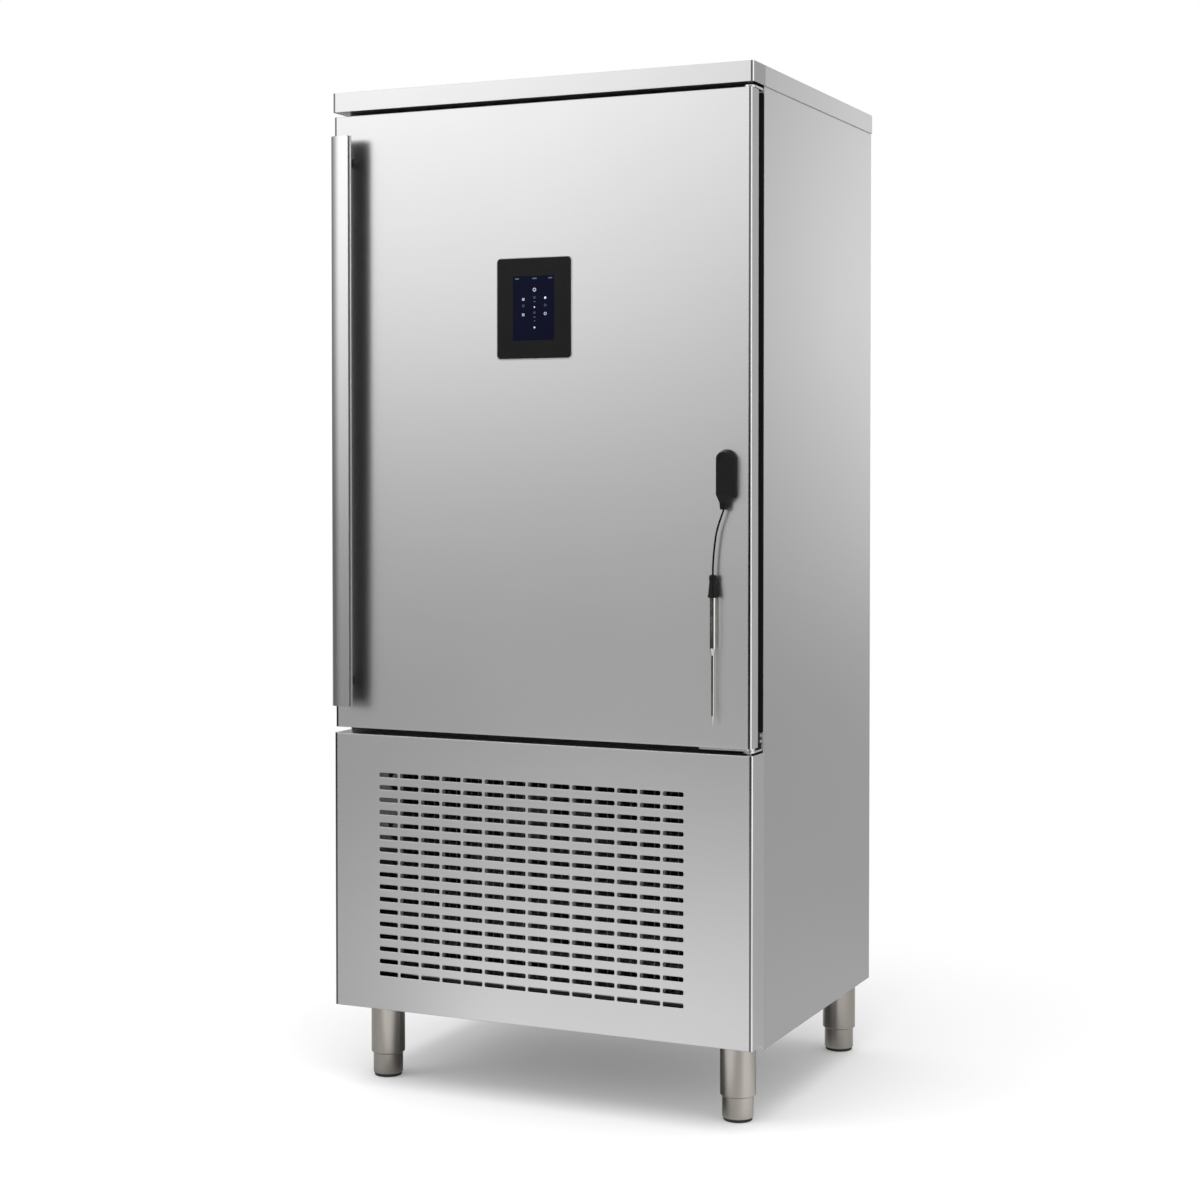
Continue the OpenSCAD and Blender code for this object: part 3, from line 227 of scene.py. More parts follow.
class Shader(Nodes):
    """A node material under construction."""

    def __init__(self, name, base, metallic=0.0, roughness=0.5):
        self.material = bpy.data.materials.new(name)
        self.material.use_nodes = True
        super().__init__(self.material.node_tree)
        self.base = base
        self.sockets = self.tree.nodes["Principled BSDF"].inputs
        self.sockets["Base Color"].default_value = (*base, 1)
        self.sockets["Metallic"].default_value = metallic
        self.sockets["Roughness"].default_value = roughness
        self.coords = self.add("ShaderNodeTexCoord").outputs["Object"]

    def noise(self, scale, detail=3.0, stretch=(1, 1, 1)):
        """Noise whose cells are stretched by the given factors along X, Y and Z."""
        mapping = self.add("ShaderNodeMapping")
        mapping.inputs["Scale"].default_value = [scale / s for s in stretch]
        self.join(self.coords, mapping.inputs["Vector"])
        noise = self.add("ShaderNodeTexNoise")
        noise.inputs["Scale"].default_value = 1
        noise.inputs["Detail"].default_value = detail
        self.join(mapping.outputs["Vector"], noise.inputs["Vector"])
        return noise.outputs["Fac"]

    def shade(self, value, low, high):
        """The base colour, darkened and lightened between two factors by a value."""
        dark, pale = [(*[min(1, c * factor) for c in self.base], 1) for factor in (low, high)]
        self.join(self.mix("RGBA", self.ramp(value, 0, 1), dark, pale), self.sockets["Base Color"])

    def vary_roughness(self, value, low, high):
        """Roughness between two levels by a value."""
        self.join(self.ramp(value, low, high), self.sockets["Roughness"])

    def bump(self, value, strength, distance, edge=0.0):
        """Fine relief, and with edge, edges that catch light as if rounded by that radius."""
        node = self.add("ShaderNodeBump")
        node.inputs["Strength"].default_value = strength
        node.inputs["Distance"].default_value = distance
        self.join(value, node.inputs["Height"])
        if edge:
            bevel = self.add("ShaderNodeBevel", samples=4)
            bevel.inputs["Radius"].default_value = edge
            self.join(bevel.outputs["Normal"], node.inputs["Normal"])
        self.join(node.outputs["Normal"], self.sockets["Normal"])

    def glow(self, colour, strength):
        """Light from the surface itself."""
        self.sockets["Emission Color"].default_value = (*colour, 1)
        self.sockets["Emission Strength"].default_value = strength

    def along_sheet(self):
        """The direction along X or Y on upright faces, and along X on level ones."""
        round_z, round_y = [
            self.add("ShaderNodeTangent", direction_type="RADIAL", axis=axis).outputs[0]
            for axis in "ZY"
        ]
        normal = self.axes(self.add("ShaderNodeNewGeometry").outputs["True Normal"])
        level = self.span(self.calc("ABSOLUTE", normal["Z"]), LEVEL_FROM, LEVEL_FULL)
        return self.mix("VECTOR", level, round_z, round_y)

    def painted_fold_lines(self, rough, flank):
        """Roughness and colour where a sheet is folded back, at the distance flank to either side.
        The fold is glossy, with a painted highlight behind a painted dark reflection, and the flank
        is dull and of the base colour."""
        out = self.calc("ABSOLUTE", self.axes(self.coords)["X"])
        fold = flank - FOLD_W
        rough = self.mix("FLOAT", self.span(out, fold - FOLD_FADE, fold), rough, FOLD_ROUGH)
        rough = self.mix("FLOAT", self.span(out, flank - FLANK_W, flank - FLANK_NEAR), rough,
                         FLANK_ROUGH)
        line = flank - LINE_W
        crest = flank - CREST_W
        colour = self.sockets["Base Color"].links[0].from_socket
        # Painted colour: a dark line that stands for a reflection of dark surroundings, and a pale
        # crest that stands for the fold's highlight
        for start, end, level in (
            (line, line + STEP_W, PAINTED_LINE_DARK), (crest, crest + STEP_W, PAINTED_CREST_PALE),
            (flank - STEP_W, flank - FLANK_NEAR, self.base[0]),
        ):
            colour = self.mix("RGBA", self.span(out, start, end), colour, (*grey(level), 1))
        self.join(colour, self.sockets["Base Color"])
        return rough


def brushed(name, base, roughness, grain="x", contrast=0.04, anisotropy=0.6, wear=0.02, edge=EDGE_R,
            flank=0.0, metallic=1.0):
    """Stainless steel brushed along one axis, or round Z for "xy"; reflections blur across the
    grain. With flank, the sheet is folded back at that distance to either side, with a painted
    highlight and a painted dark reflection along each fold."""
    s = Shader(name, base, metallic=metallic)
    stretch = [GRAIN_LONG if axis in grain else GRAIN_FINE for axis in "xyz"]
    lines = s.noise(scale=1.0, detail=4, stretch=stretch)
    clouds = s.noise(scale=2.2, detail=2)
    s.shade(lines, 1 - contrast, 1 + contrast)
    rough = s.calc("ADD", s.ramp(lines, -wear / 2, wear / 2),
                   s.ramp(clouds, roughness - wear / 2, roughness + wear / 2))
    if flank:
        rough = s.painted_fold_lines(rough, flank)
    s.join(rough, s.sockets["Roughness"])
    s.bump(lines, strength=0.005, distance=0.00005, edge=edge)
    s.sockets["Anisotropic"].default_value = anisotropy
    s.sockets["Anisotropic Rotation"].default_value = 0.0 if grain == "z" else RIGHT_ANGLE
    s.join(s.along_sheet(), s.sockets["Tangent"])
    return s.material


def satin_metal(name, base, roughness, scale=900.0, contrast=0.06):
    """Turned, cast or drawn metal with a fine, even tooth."""
    s = Shader(name, base, metallic=1.0)
    tooth = s.noise(scale)
    s.shade(tooth, 1 - contrast, 1 + contrast)
    s.vary_roughness(s.noise(scale=40.0), roughness - 0.05, roughness + 0.06)
    s.bump(tooth, strength=0.1, distance=0.00005)
    return s.material


def plastic(name, base, roughness, scale=1400.0, contrast=0.12, gloss=0.5):
    """Moulded plastic or rubber with a fine grain."""
    s = Shader(name, base)
    s.shade(s.noise(scale=18.0), 1 - contrast, 1 + contrast)
    s.vary_roughness(s.noise(scale=60.0), roughness - 0.05, roughness + 0.05)
    s.bump(s.noise(scale, detail=2), strength=0.35, distance=0.00004)
    s.sockets["Specular IOR Level"].default_value = gloss
    return s.material


def enamel(name, base, roughness):
    """Sprayed enamel with a faint orange peel."""
    s = Shader(name, base)
    s.shade(s.noise(scale=12.0), 0.85, 1.15)
    s.vary_roughness(s.noise(scale=30.0), roughness - 0.04, roughness + 0.08)
    s.bump(s.noise(scale=350.0, detail=1), strength=0.25, distance=0.0002)
    s.sockets["Coat Weight"].default_value = 0.25
    s.sockets["Coat Roughness"].default_value = 0.2
    return s.material


def foam_material(name, base):
    """Rigid open-pored foam."""
    s = Shader(name, base, roughness=0.95)
    pores = s.noise(scale=700.0, detail=5)
    s.shade(pores, 0.78, 1.1)
    s.bump(pores, strength=0.6, distance=0.0006)
    return s.material


def galvanised(name, base):
    """Zinc-coated sheet with its spangle."""
    s = Shader(name, base, metallic=1.0)
    cells = s.add("ShaderNodeTexVoronoi", feature="F1")
    cells.inputs["Scale"].default_value = 90.0
    s.join(s.coords, cells.inputs["Vector"])
    draw = s.add("ShaderNodeSeparateColor")
    s.join(cells.outputs["Color"], draw.inputs["Color"])
    dark, pale = [(*[c * factor for c in base], 1) for factor in (0.85, 1.12)]
    s.join(s.mix("RGBA", draw.outputs["Red"], dark, pale), s.sockets["Base Color"])
    s.join(s.ramp(draw.outputs["Green"], 0.42, 0.6, 0, 1), s.sockets["Roughness"])
    return s.material


def screen_material(name, base, glow):
    """The dark, faintly lit field of the display."""
    s = Shader(name, base)
    s.shade(s.noise(scale=30.0, detail=1), 0.9, 1.1)
    s.vary_roughness(s.noise(scale=300.0), 0.1, 0.16)
    s.glow(base, glow)
    s.sockets["Specular IOR Level"].default_value = 0.05
    return s.material


def icon_material(name, base, glow):
    """A lit mark on the display."""
    s = Shader(name, base, roughness=0.4)
    s.shade(s.noise(scale=800.0, detail=1), 0.85, 1.1)
    s.glow(base, glow)
    return s.material


# How the casing's sheets are brushed, and how the door and the slotted panel are
CASING = {"contrast": 0.02, "anisotropy": 0.8}
FRONT = {"roughness": 0.30, "contrast": 0.014, "anisotropy": 0.25, "wear": 0.015,
         "edge": FRONT_EDGE_R}
FRONT_GREY = grey(0.70)

SLOTS = {
    "casing_steel": brushed("casing_steel", grey(0.66), 0.25, **CASING),
    # The door's steel has a painted highlight and a painted dark reflection along its folded sides
    "front_steel": brushed("front_steel", FRONT_GREY, flank=door_high.x, **FRONT),
    "chamber_steel": brushed("chamber_steel", grey(0.7), 0.3, contrast=0.02, metallic=0.8),
    "galvanised_sheet": galvanised("galvanised_sheet", (0.55, 0.56, 0.57)),
    "leg_steel": brushed("leg_steel", (0.53, 0.497, 0.455), 0.19, grain="xy", contrast=0.03,
                         anisotropy=0.8),
    "black_rubber": plastic("black_rubber", grey(0.02), 0.75, scale=900),
    "gasket_rubber": plastic("gasket_rubber", (0.035, 0.035, 0.037), 0.6),
    "foam": foam_material("foam", (0.72, 0.62, 0.36)),
    "black_plastic": plastic("black_plastic", (0.007, 0.007, 0.0075), 0.5),
    "black_enamel": enamel("black_enamel", grey(0.012), 0.35),
    "fin_aluminium": satin_metal("fin_aluminium", (0.4, 0.405, 0.41), 0.4),
    "shroud_sheet": enamel("shroud_sheet", (0.02, 0.02, 0.022), 0.45),
    "motor_housing": enamel("motor_housing", (0.06, 0.06, 0.065), 0.5),
    "copper": satin_metal("copper", (0.72, 0.36, 0.2), 0.32, scale=300, contrast=0.12),
    "box_plastic": plastic("box_plastic", (0.6, 0.6, 0.58), 0.5),
    "grey_plastic": plastic("grey_plastic", (0.05, 0.05, 0.055), 0.5),
    "guard_wire": satin_metal("guard_wire", (0.72, 0.72, 0.73), 0.2),
    "hinge_steel": satin_metal("hinge_steel", grey(0.78), 0.22),
    "handle_metal": brushed("handle_metal", grey(0.76), 0.28, grain="z", contrast=0.03,
                            anisotropy=0.2),
    "housing_plastic": plastic("housing_plastic", (0.03, 0.03, 0.033), 0.5),
    "bezel_gloss": plastic("bezel_gloss", (0.006, 0.006, 0.0065), 0.3, contrast=0.05, gloss=0.12),
    "screen_glass": screen_material("screen_glass", (0.0012, 0.0018, 0.0095), 0.4),
    "probe_steel": satin_metal("probe_steel", (0.78, 0.77, 0.74), 0.1, contrast=0.02),
    "probe_plastic": plastic("probe_plastic", (0.004, 0.004, 0.0042), 0.42, gloss=0.22),
    "probe_lead": plastic("probe_lead", grey(0.003), 0.45, gloss=0.12),
    "fan_plastic": plastic("fan_plastic", (0.015, 0.015, 0.016), 0.4),
}


def finish_node(node, material):
    """A material in each of a CAD node's slots."""
    for slot in nodes[node].material_slots:
        slot.material = material


for part in frame["record"]["subparts"]:
    finish_node(part["node"], SLOTS[part["material_slot"]])
# The slotted panel and the fascia have folds of their own, with their own painted fold highlights
# and painted dark reflections
finish_node("lower_front_panel", brushed("panel_steel", FRONT_GREY, flank=panel_high.x, **FRONT))
finish_node("top_fascia", brushed("fascia_steel", grey(0.64), 0.25, **CASING,
                                  flank=corners("top_fascia")[1].x))

make_cord(SLOTS["probe_lead"])

# ------------------------------------------------------------------ mesh tools


def mesh_from(name, bm):
    """A mesh with its faces turned outwards."""
    bmesh.ops.recalc_face_normals(bm, faces=bm.faces)
    mesh = bpy.data.meshes.new(name)
    bm.to_mesh(mesh)
    bm.free()
    return mesh


def toward(axis):
    """A rotation that turns +Z to the given axis."""
    return Vector(axis).to_track_quat("Z", "Y").to_matrix().to_4x4()


def circle(radius, height, sides):
    """Points round Z."""
    return [Vector((radius * math.cos(a), radius * math.sin(a), height))
            for a in (i * 2 * math.pi / sides for i in range(sides))]


def spread(low, high, count):
    """Evenly spaced places from low to high."""
    return [low + (high - low) * i / (count - 1) for i in range(count)]


def add_box(bm, low, high):
    """A closed box between two corners."""
    size = Vector(high) - Vector(low)
    middle = (Vector(high) + Vector(low)) / 2
    matrix = Matrix.Translation(middle) @ Matrix.Diagonal((*size, 1))
    bmesh.ops.create_cube(bm, size=1, matrix=matrix)


def add_loops(bm, loops, wrap=False):
    """Closed loops of points joined one to the next, with flat ends, or with wrap, joined round."""
    rings = [[bm.verts.new(point) for point in loop] for loop in loops]
    count = len(rings[0])
    for lower, upper in zip(rings, rings[1:] + rings[:1] if wrap else rings[1:]):
        for i in range(count):
            j = (i + 1) % count
            bm.faces.new((lower[i], lower[j], upper[j], upper[i]))
    if not wrap:
        bm.faces.new(list(reversed(rings[0])))
        bm.faces.new(rings[-1])


def add_revolved(bm, profile, matrix, sides=32):
    """A closed turned form. The profile is (radius, height) from bottom to top, about Z."""
    rings = []
    for radius, height in profile:
        points = circle(radius, height, sides) if radius else [Vector((0, 0, height))]
        rings.append([bm.verts.new(matrix @ point) for point in points])
    for lower, upper in zip(rings, rings[1:]):
        for i in range(sides):
            j = (i + 1) % sides
            if len(lower) == 1:
                bm.faces.new((lower[0], upper[j], upper[i]))
            elif len(upper) == 1:
                bm.faces.new((lower[i], lower[j], upper[0]))
            else:
                bm.faces.new((lower[i], lower[j], upper[j], upper[i]))
    if len(rings[0]) > 1:
        bm.faces.new(list(reversed(rings[0])))
    if len(rings[-1]) > 1:
        bm.faces.new(rings[-1])


def add_ring(bm, matrix, outer, inner, height, sides=24):
    """A flat closed ring."""
    section = ((outer, 0), (outer, height), (inner, height), (inner, 0))
    add_loops(bm, [[matrix @ point for point in circle(radius, z, sides)]
                   for radius, z in section], wrap=True)


def add_tube(bm, points, radius, sides=12):
    """A tube along points, with flat ends."""
    loops = []
    for i, point in enumerate(points):
        ahead = points[min(i + 1, len(points) - 1)] - points[max(i - 1, 0)]
        turn = Matrix.Translation(point) @ toward(ahead)
        loops.append([turn @ spot for spot in circle(radius, 0, sides)])
    add_loops(bm, loops)


def fitting(name, body, slot, bm, smooth=False, material=None):
    """A piece that rides on a body, in the material of its slot unless another is given."""
    mesh = mesh_from(name, bm)
    mesh.materials.append(material or SLOTS[slot])
    if smooth:
        mesh.polygons.foreach_set("use_smooth", [True] * len(mesh.polygons))
    obj = place(name, mesh)
    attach(obj, body)


# ------------------------------------------------------------------ display symbols

# How far the marks' backs lie off the screen, and how thick they are
SYMBOL_OUT = 0.00005
SYMBOL_T = 0.00012
# A mark's size divided by these is half a bar's height, half a rung's height, the distance
# between two rungs, and a ring's inner radius
BAR_SLIM = 7
RUNG_SLIM = 14
RUNG_PITCH = 3
RING_INNER = 2.9
PALE = icon_material("symbol_pale", (0.46, 0.54, 0.64), 0.42)
DIM = icon_material("symbol_dim", (0.045, 0.08, 0.14), 0.35)

# Kind, place across and up as shares of the screen from its middle, size and material
SYMBOLS = [
    ("bar", -0.40, 0.46, 0.0075, DIM), ("bar", 0.02, 0.46, 0.008, DIM),
    ("bar", 0.40, 0.46, 0.0075, DIM),
    ("ring", 0.02, 0.285, 0.0062, PALE), ("trays", 0.02, 0.165, 0.0042, DIM),
    ("bar", 0.02, 0.1, 0.004, DIM), ("dot", 0.02, 0.015, 0.0026, PALE),
    ("trays", 0.02, -0.07, 0.004, DIM), ("bar", 0.02, -0.14, 0.004, DIM),
    ("bar", 0.02, -0.2, 0.0032, DIM), ("dot", 0.02, -0.3, 0.0032, PALE),
    ("trays", -0.25, 0.14, 0.0048, PALE), ("ring", -0.25, 0.04, 0.0045, DIM),
    ("trays", -0.25, -0.1, 0.005, PALE),
    ("dot", 0.28, 0.155, 0.0042, PALE), ("ring", 0.28, 0.04, 0.0045, DIM),
    ("ring", 0.28, -0.09, 0.0052, PALE),
]


def add_symbol(bm, kind, size, at):
    """A small raised mark on the screen: a dot, a bar, a stack of bars or a ring."""
    turn = Matrix.Translation(at) @ toward((0, -1, 0))
    if kind == "dot":
        add_revolved(bm, [(size / 2, 0), (size / 2, SYMBOL_T)], turn, sides=24)
    elif kind == "bar":
        slim = size / BAR_SLIM
        add_box(bm, at - Vector((size / 2, SYMBOL_T, slim)), at + Vector((size / 2, 0, slim)))
    elif kind == "trays":
        half = Vector((size / 2, SYMBOL_T / 2, size / RUNG_SLIM))
        for step in (-1, 0, 1):
            rung = at + Vector((0, -SYMBOL_T / 2, step * size / RUNG_PITCH))
            add_box(bm, rung - half, rung + half)
    else:
        add_ring(bm, turn, size / 2, size / RING_INNER, SYMBOL_T)


def make_symbols():
    """The lit marks on the screen."""
    low, high = corners("display_screen")
    for number, (kind, across, up, size, material) in enumerate(SYMBOLS):
        at = Vector((
            (low.x + high.x) / 2 + across * (high.x - low.x), low.y - SYMBOL_OUT,
            (low.z + high.z) / 2 + up * (high.z - low.z),
        ))
        bm = bmesh.new()
        add_symbol(bm, kind, size, at)
        fitting(f"screen_symbol_{number:02d}", "door", "screen_glass", bm, material=material)


make_symbols()

# ------------------------------------------------------------------ screws

BACKWARD = (0, 1, 0)
FORWARD = (0, -1, 0)
SCREW_R = 0.004
SMALL_SCREW_R = 0.003
HEAD_H = 0.0012
TALL_HEAD_H = 0.002
# A head's outline from its foot to its face, and its recess's arms and floor, all as shares of the
# head's radius and height
HEAD_PROFILE = ((1, 0), (1, 0.4), (0.88, 0.8), (0.64, 1))
ARM_SHARE = 0.5
FLOOR_SHARE = 0.35
# Angles of a head's outline, so that its points face those of the cross recess
HALF_ARM = math.radians(14)
CROSS_ANGLES = [quarter * math.pi / 2 + turn
                for quarter in range(4) for turn in (-HALF_ARM, HALF_ARM, math.pi / 4)]
# Places of the screws, from the edges of what they hold
BACK_SIDE_IN = 0.028
BACK_END_IN = 0.015
GRILLE_END_IN = 0.03
FAN_SIDE_IN = 0.014
FAN_END_IN = 0.02
OPENING_SIDE_IN = 0.0435
OPENING_END_IN = 0.08
HINGE_IN = 0.004
HINGE_UP = (0.018, 0.028)


def add_screw(bm, at, axis, radius, height):
    """A low-headed screw with a cross recess, its foot at a point."""
    turn = Matrix.Translation(Vector(at)) @ toward(axis)
    arm = ARM_SHARE * radius
    half = arm * math.tan(HALF_ARM)

    def rim(share, up):
        r = share * radius
        return [turn @ Vector((r * math.cos(a), r * math.sin(a), up * height))
                for a in CROSS_ANGLES]

    def cross(up):
        points = []
        for quarter in range(4):
            c, s = math.cos(quarter * math.pi / 2), math.sin(quarter * math.pi / 2)
            for x, y in ((arm, -half), (arm, half), (half, half)):
                points.append(turn @ Vector((c * x - s * y, s * x + c * y, up * height)))
        return points

    add_loops(bm, [rim(*level) for level in HEAD_PROFILE] + [cross(1), cross(FLOOR_SHARE)])


def screws(name, spots, axis, radius=SCREW_R, height=HEAD_H):
    """One piece with a screw at each spot."""
    bm = bmesh.new()
    for spot in spots:
        add_screw(bm, spot, axis, radius, height)
    fitting(name, "cabinet", "hinge_steel", bm)


def two_rows(x, y, heights_up):
    """Places in an upright row to the left and one to the right."""
    return [(side * x, y, z) for side in (-1, 1) for z in heights_up]


def make_screws():
    """Screws in the back, the grille, the fan panel, the opening's frame and the hinge."""
    low, high = corners("back_panel")
    back_x = high.x - BACK_SIDE_IN
    up = spread(low.z + BACK_END_IN, high.z - BACK_END_IN, count=7)
    spots = two_rows(back_x, high.y, up)
    spots += [(x, high.y, z) for x in spread(-back_x / 2, back_x / 2, count=3)
              for z in (up[0], up[-1])]
    screws("back_panel_screws", spots, BACKWARD)

    low, high = corners("rear_grille")
    up = spread(low.z + GRILLE_END_IN, high.z - GRILLE_END_IN, count=4)
    screws("rear_grille_screws", two_rows(back_x, high.y, up), BACKWARD, height=TALL_HEAD_H)

    low, high = corners("fan_panel")
    up = spread(low.z + FAN_END_IN, high.z - FAN_END_IN, count=5)
    spots = two_rows(high.x - FAN_SIDE_IN, low.y, up)
    screws("fan_panel_screws", spots, FORWARD, height=TALL_HEAD_H)

    low, high = corners("opening_frame")
    up = spread(low.z + OPENING_END_IN, high.z - OPENING_END_IN, count=5)
    screws("opening_frame_screws", two_rows(high.x - OPENING_SIDE_IN, low.y, up), FORWARD)

    low, high = corners("bottom_hinge_bracket")
    spots = [(high.x - HINGE_IN, high.y - HINGE_IN, low.z + above) for above in HINGE_UP]
    screws("bottom_hinge_screws", spots, FORWARD, radius=SMALL_SCREW_R)


make_screws()

# ------------------------------------------------------------------ small fittings

# The strip that closes the door's back edge, and the thickness of the door's sheet
RETURN_T = 0.0005
SHEET_T = 0.0012
# The trim round the bezel: its own radius, how far out it lies, and its corners
TRIM_R = 0.0005
TRIM_GAP = 0.0012
TRIM_OUT = 0.0008
TRIM_CORNER = 0.0072
TRIM_SIDES = 8
# The coils' tubes: radius, steps round a bend, rows, and places from the coils' backs and ends
BEND_R = 0.0047
BEND_STEPS = 12
CONDENSER_ROWS = 9
CONDENSER_TUBE_IN = 0.031
CONDENSER_LOW_UP = 0.040
CONDENSER_HIGH_IN = 0.010
EVAPORATOR_ROWS = 10
EVAPORATOR_TUBE_IN = 0.019
# The nuts on the compressor's mounts, and the mounts' radius
NUT_R = 0.0095
NUT_TOP_R = 0.0075
NUT_CHAMFER_UP = 0.006
NUT_H = 0.0075
MOUNT_R = 0.014
# The drain's cover: the liner under it, its rings (outer, inner) and its bars
LINER_T = 0.001
COVER_RINGS = ((0.030, 0.0245), (0.020, 0.0155), (0.011, 0.0065))
COVER_T = 0.0015
COVER_BAR = (0.056, 0.003, 0.002)
# The air sensor: its place on the fan panel, and its bulb and clips
SENSOR_SIDE_IN = 0.09
SENSOR_OUT = 0.008
BULB_HALF = 0.035
BULB_PROFILE = [(0, 0), (0.0022, 0.0008), (0.003, 0.003), (0.003, 0.067), (0.0022, 0.0692),
                (0, 0.07)]
CLIP_OFFSETS = (-0.02, 0.02)
CLIP_HALF = 0.003
CLIP_OUTER_R = 0.0042
CLIP_INNER_R = 0.0032
CLIP_FOOT = 0.0045
# The earthing stud: its place on the grille, and its washer, nut and thread
STUD_IN = 0.045
WASHER = [(0.009, 0), (0.009, 0.0015)]
STUD_NUT = [(0.0075, 0.0016), (0.0075, 0.0062), (0.0068, 0.007)]
THREAD_START = 0.007
THREAD_PITCH = 0.001
THREAD_TURNS = 7
THREAD_ROOT_R = 0.0036
THREAD_R = 0.004


def make_door_return():
    """A folded strip that closes the back edge of the door's steel, round the dark profile."""
    low, high = door_low, door_high
    inner_low, inner_high = corners("door_edge_profile")
    outer = [(low.x + SHEET_T, low.z + SHEET_T), (high.x - SHEET_T, low.z + SHEET_T),
             (high.x - SHEET_T, high.z - SHEET_T), (low.x + SHEET_T, high.z - SHEET_T)]
    inner = [(inner_low.x, inner_low.z), (inner_high.x, inner_low.z),
             (inner_high.x, inner_high.z), (inner_low.x, inner_high.z)]
    near, far = high.y, high.y + RETURN_T
    bm = bmesh.new()
    add_loops(bm, [[Vector((x, y, z)) for x, z in loop]
                   for loop, y in ((outer, near), (outer, far), (inner, far), (inner, near))],
              wrap=True)
    fitting("door_edge_return", "door", "front_steel", bm)


def round_corners(half_w, half_h, radius, steps=6):
    """The outline of a rectangle with round corners, as (across, up) pairs."""
    points = []
    for quarter, (sx, sz) in enumerate(((1, 1), (-1, 1), (-1, -1), (1, -1))):
        for i in range(steps + 1):
            a = (quarter + i / steps) * math.pi / 2
            points.append((sx * (half_w - radius) + radius * math.cos(a),
                           sz * (half_h - radius) + radius * math.sin(a)))
    return points


def make_bezel_trim():
    """A thin polished trim that lies on the lip round the bezel."""
    low, high = corners("display_bezel")
    middle = (low + high) / 2
    outline = round_corners((high.x - low.x) / 2 + TRIM_GAP, (high.z - low.z) / 2 + TRIM_GAP,
                            TRIM_CORNER)
    loops = []
    for i, (x, z) in enumerate(outline):
        ahead = Vector(outline[(i + 1) % len(outline)]) - Vector(outline[i - 1])
        out = Vector((ahead.y, 0, -ahead.x)).normalized()
        at = Vector((middle.x + x, FRONT_Y - TRIM_OUT, middle.z + z))
        loops.append([at + TRIM_R * (math.cos(a) * out + math.sin(a) * Vector((0, 1, 0)))
                      for a in (k * 2 * math.pi / TRIM_SIDES for k in range(TRIM_SIDES))])
    bm = bmesh.new()
    add_loops(bm, loops, wrap=True)
    fitting("bezel_trim", "door", "probe_steel", bm, smooth=True)


def return_bends(name, slot, left_x, right_x, tube_y, low_z, high_z, rows):
    """Half loops that join the ends of a coil's tubes in pairs, on both sides in turn."""
    step = (high_z - low_z) / rows
    bm = bmesh.new()
    for row in range(rows - 1):
        side, end_x = (1, right_x) if row % 2 == 0 else (-1, left_x)
        middle = Vector((end_x, tube_y, low_z + (row + 1) * step))
        arc = [middle + Vector((side * math.sin(a), 0, -math.cos(a))) * step / 2
               for a in (i * math.pi / BEND_STEPS for i in range(BEND_STEPS + 1))]
        add_tube(bm, arc, BEND_R)
    fitting(name, "cabinet", slot, bm, smooth=True)


def make_return_bends():
    """The bends of the condenser, whose tubes start above the base, and of the evaporator."""
    low, high = corners("condenser_coil")
    leg_top = corners("leg_tubes")[1].z
    return_bends("condenser_return_bends", "shroud_sheet", low.x, high.x,
                 high.y - CONDENSER_TUBE_IN, leg_top + CONDENSER_LOW_UP,
                 high.z - CONDENSER_HIGH_IN, CONDENSER_ROWS)
    low, high = corners("evaporator_coil")
    return_bends("evaporator_return_bends", "copper", low.x, high.x,
                 high.y - EVAPORATOR_TUBE_IN, low.z, high.z, EVAPORATOR_ROWS)


def make_compressor_nuts():
    """Nuts on the studs of the compressor's mounts."""
    low, high = corners("compressor_mounts")
    profile = [(NUT_R, 0), (NUT_R, NUT_CHAMFER_UP), (NUT_TOP_R, NUT_H), (0, NUT_H)]
    bm = bmesh.new()
    for x in (low.x + MOUNT_R, high.x - MOUNT_R):
        for y in (low.y + MOUNT_R, high.y - MOUNT_R):
            add_revolved(bm, profile, Matrix.Translation((x, y, high.z)), sides=6)
    fitting("compressor_nuts", "cabinet", "hinge_steel", bm)


def make_drain_cover():
    """A cover of rings and crossed bars over the chamber's drain."""
    low, high = corners("drain_spigot")
    middle = (low + high) / 2
    turn = Matrix.Translation((middle.x, middle.y, corners("chamber_liner")[0].z + LINER_T))
    bm = bmesh.new()
    for outer_r, inner_r in COVER_RINGS:
        add_ring(bm, turn, outer_r, inner_r, COVER_T, sides=40)
    for angle in (0, math.pi / 2):
        at = Matrix.Rotation(angle, 4, "Z") @ Matrix.Translation((0, 0, COVER_BAR[2] / 2))
        bmesh.ops.create_cube(bm, size=1, matrix=turn @ at @ Matrix.Diagonal((*COVER_BAR, 1)))
    fitting("drain_cover", "cabinet", "hinge_steel", bm)


def make_air_sensor():
    """The chamber's air sensor: a bulb in two clips on the fan panel."""
    low, high = corners("fan_panel")
    x = low.x + SENSOR_SIDE_IN
    y = low.y - SENSOR_OUT
    z = (low.z + high.z) / 2
    bm = bmesh.new()
    add_revolved(bm, BULB_PROFILE, Matrix.Translation((x, y, z - BULB_HALF)), sides=20)
    fitting("air_sensor_bulb", "cabinet", "probe_steel", bm, smooth=True)
    bm = bmesh.new()
    for offset in CLIP_OFFSETS:
        foot = z + offset - CLIP_HALF
        add_ring(bm, Matrix.Translation((x, y, foot)), CLIP_OUTER_R, CLIP_INNER_R, 2 * CLIP_HALF,
                 sides=20)
        add_box(bm, (x - CLIP_HALF, low.y - CLIP_FOOT, foot),
                (x + CLIP_HALF, low.y, z + offset + CLIP_HALF))
    fitting("air_sensor_clips", "cabinet", "grey_plastic", bm)


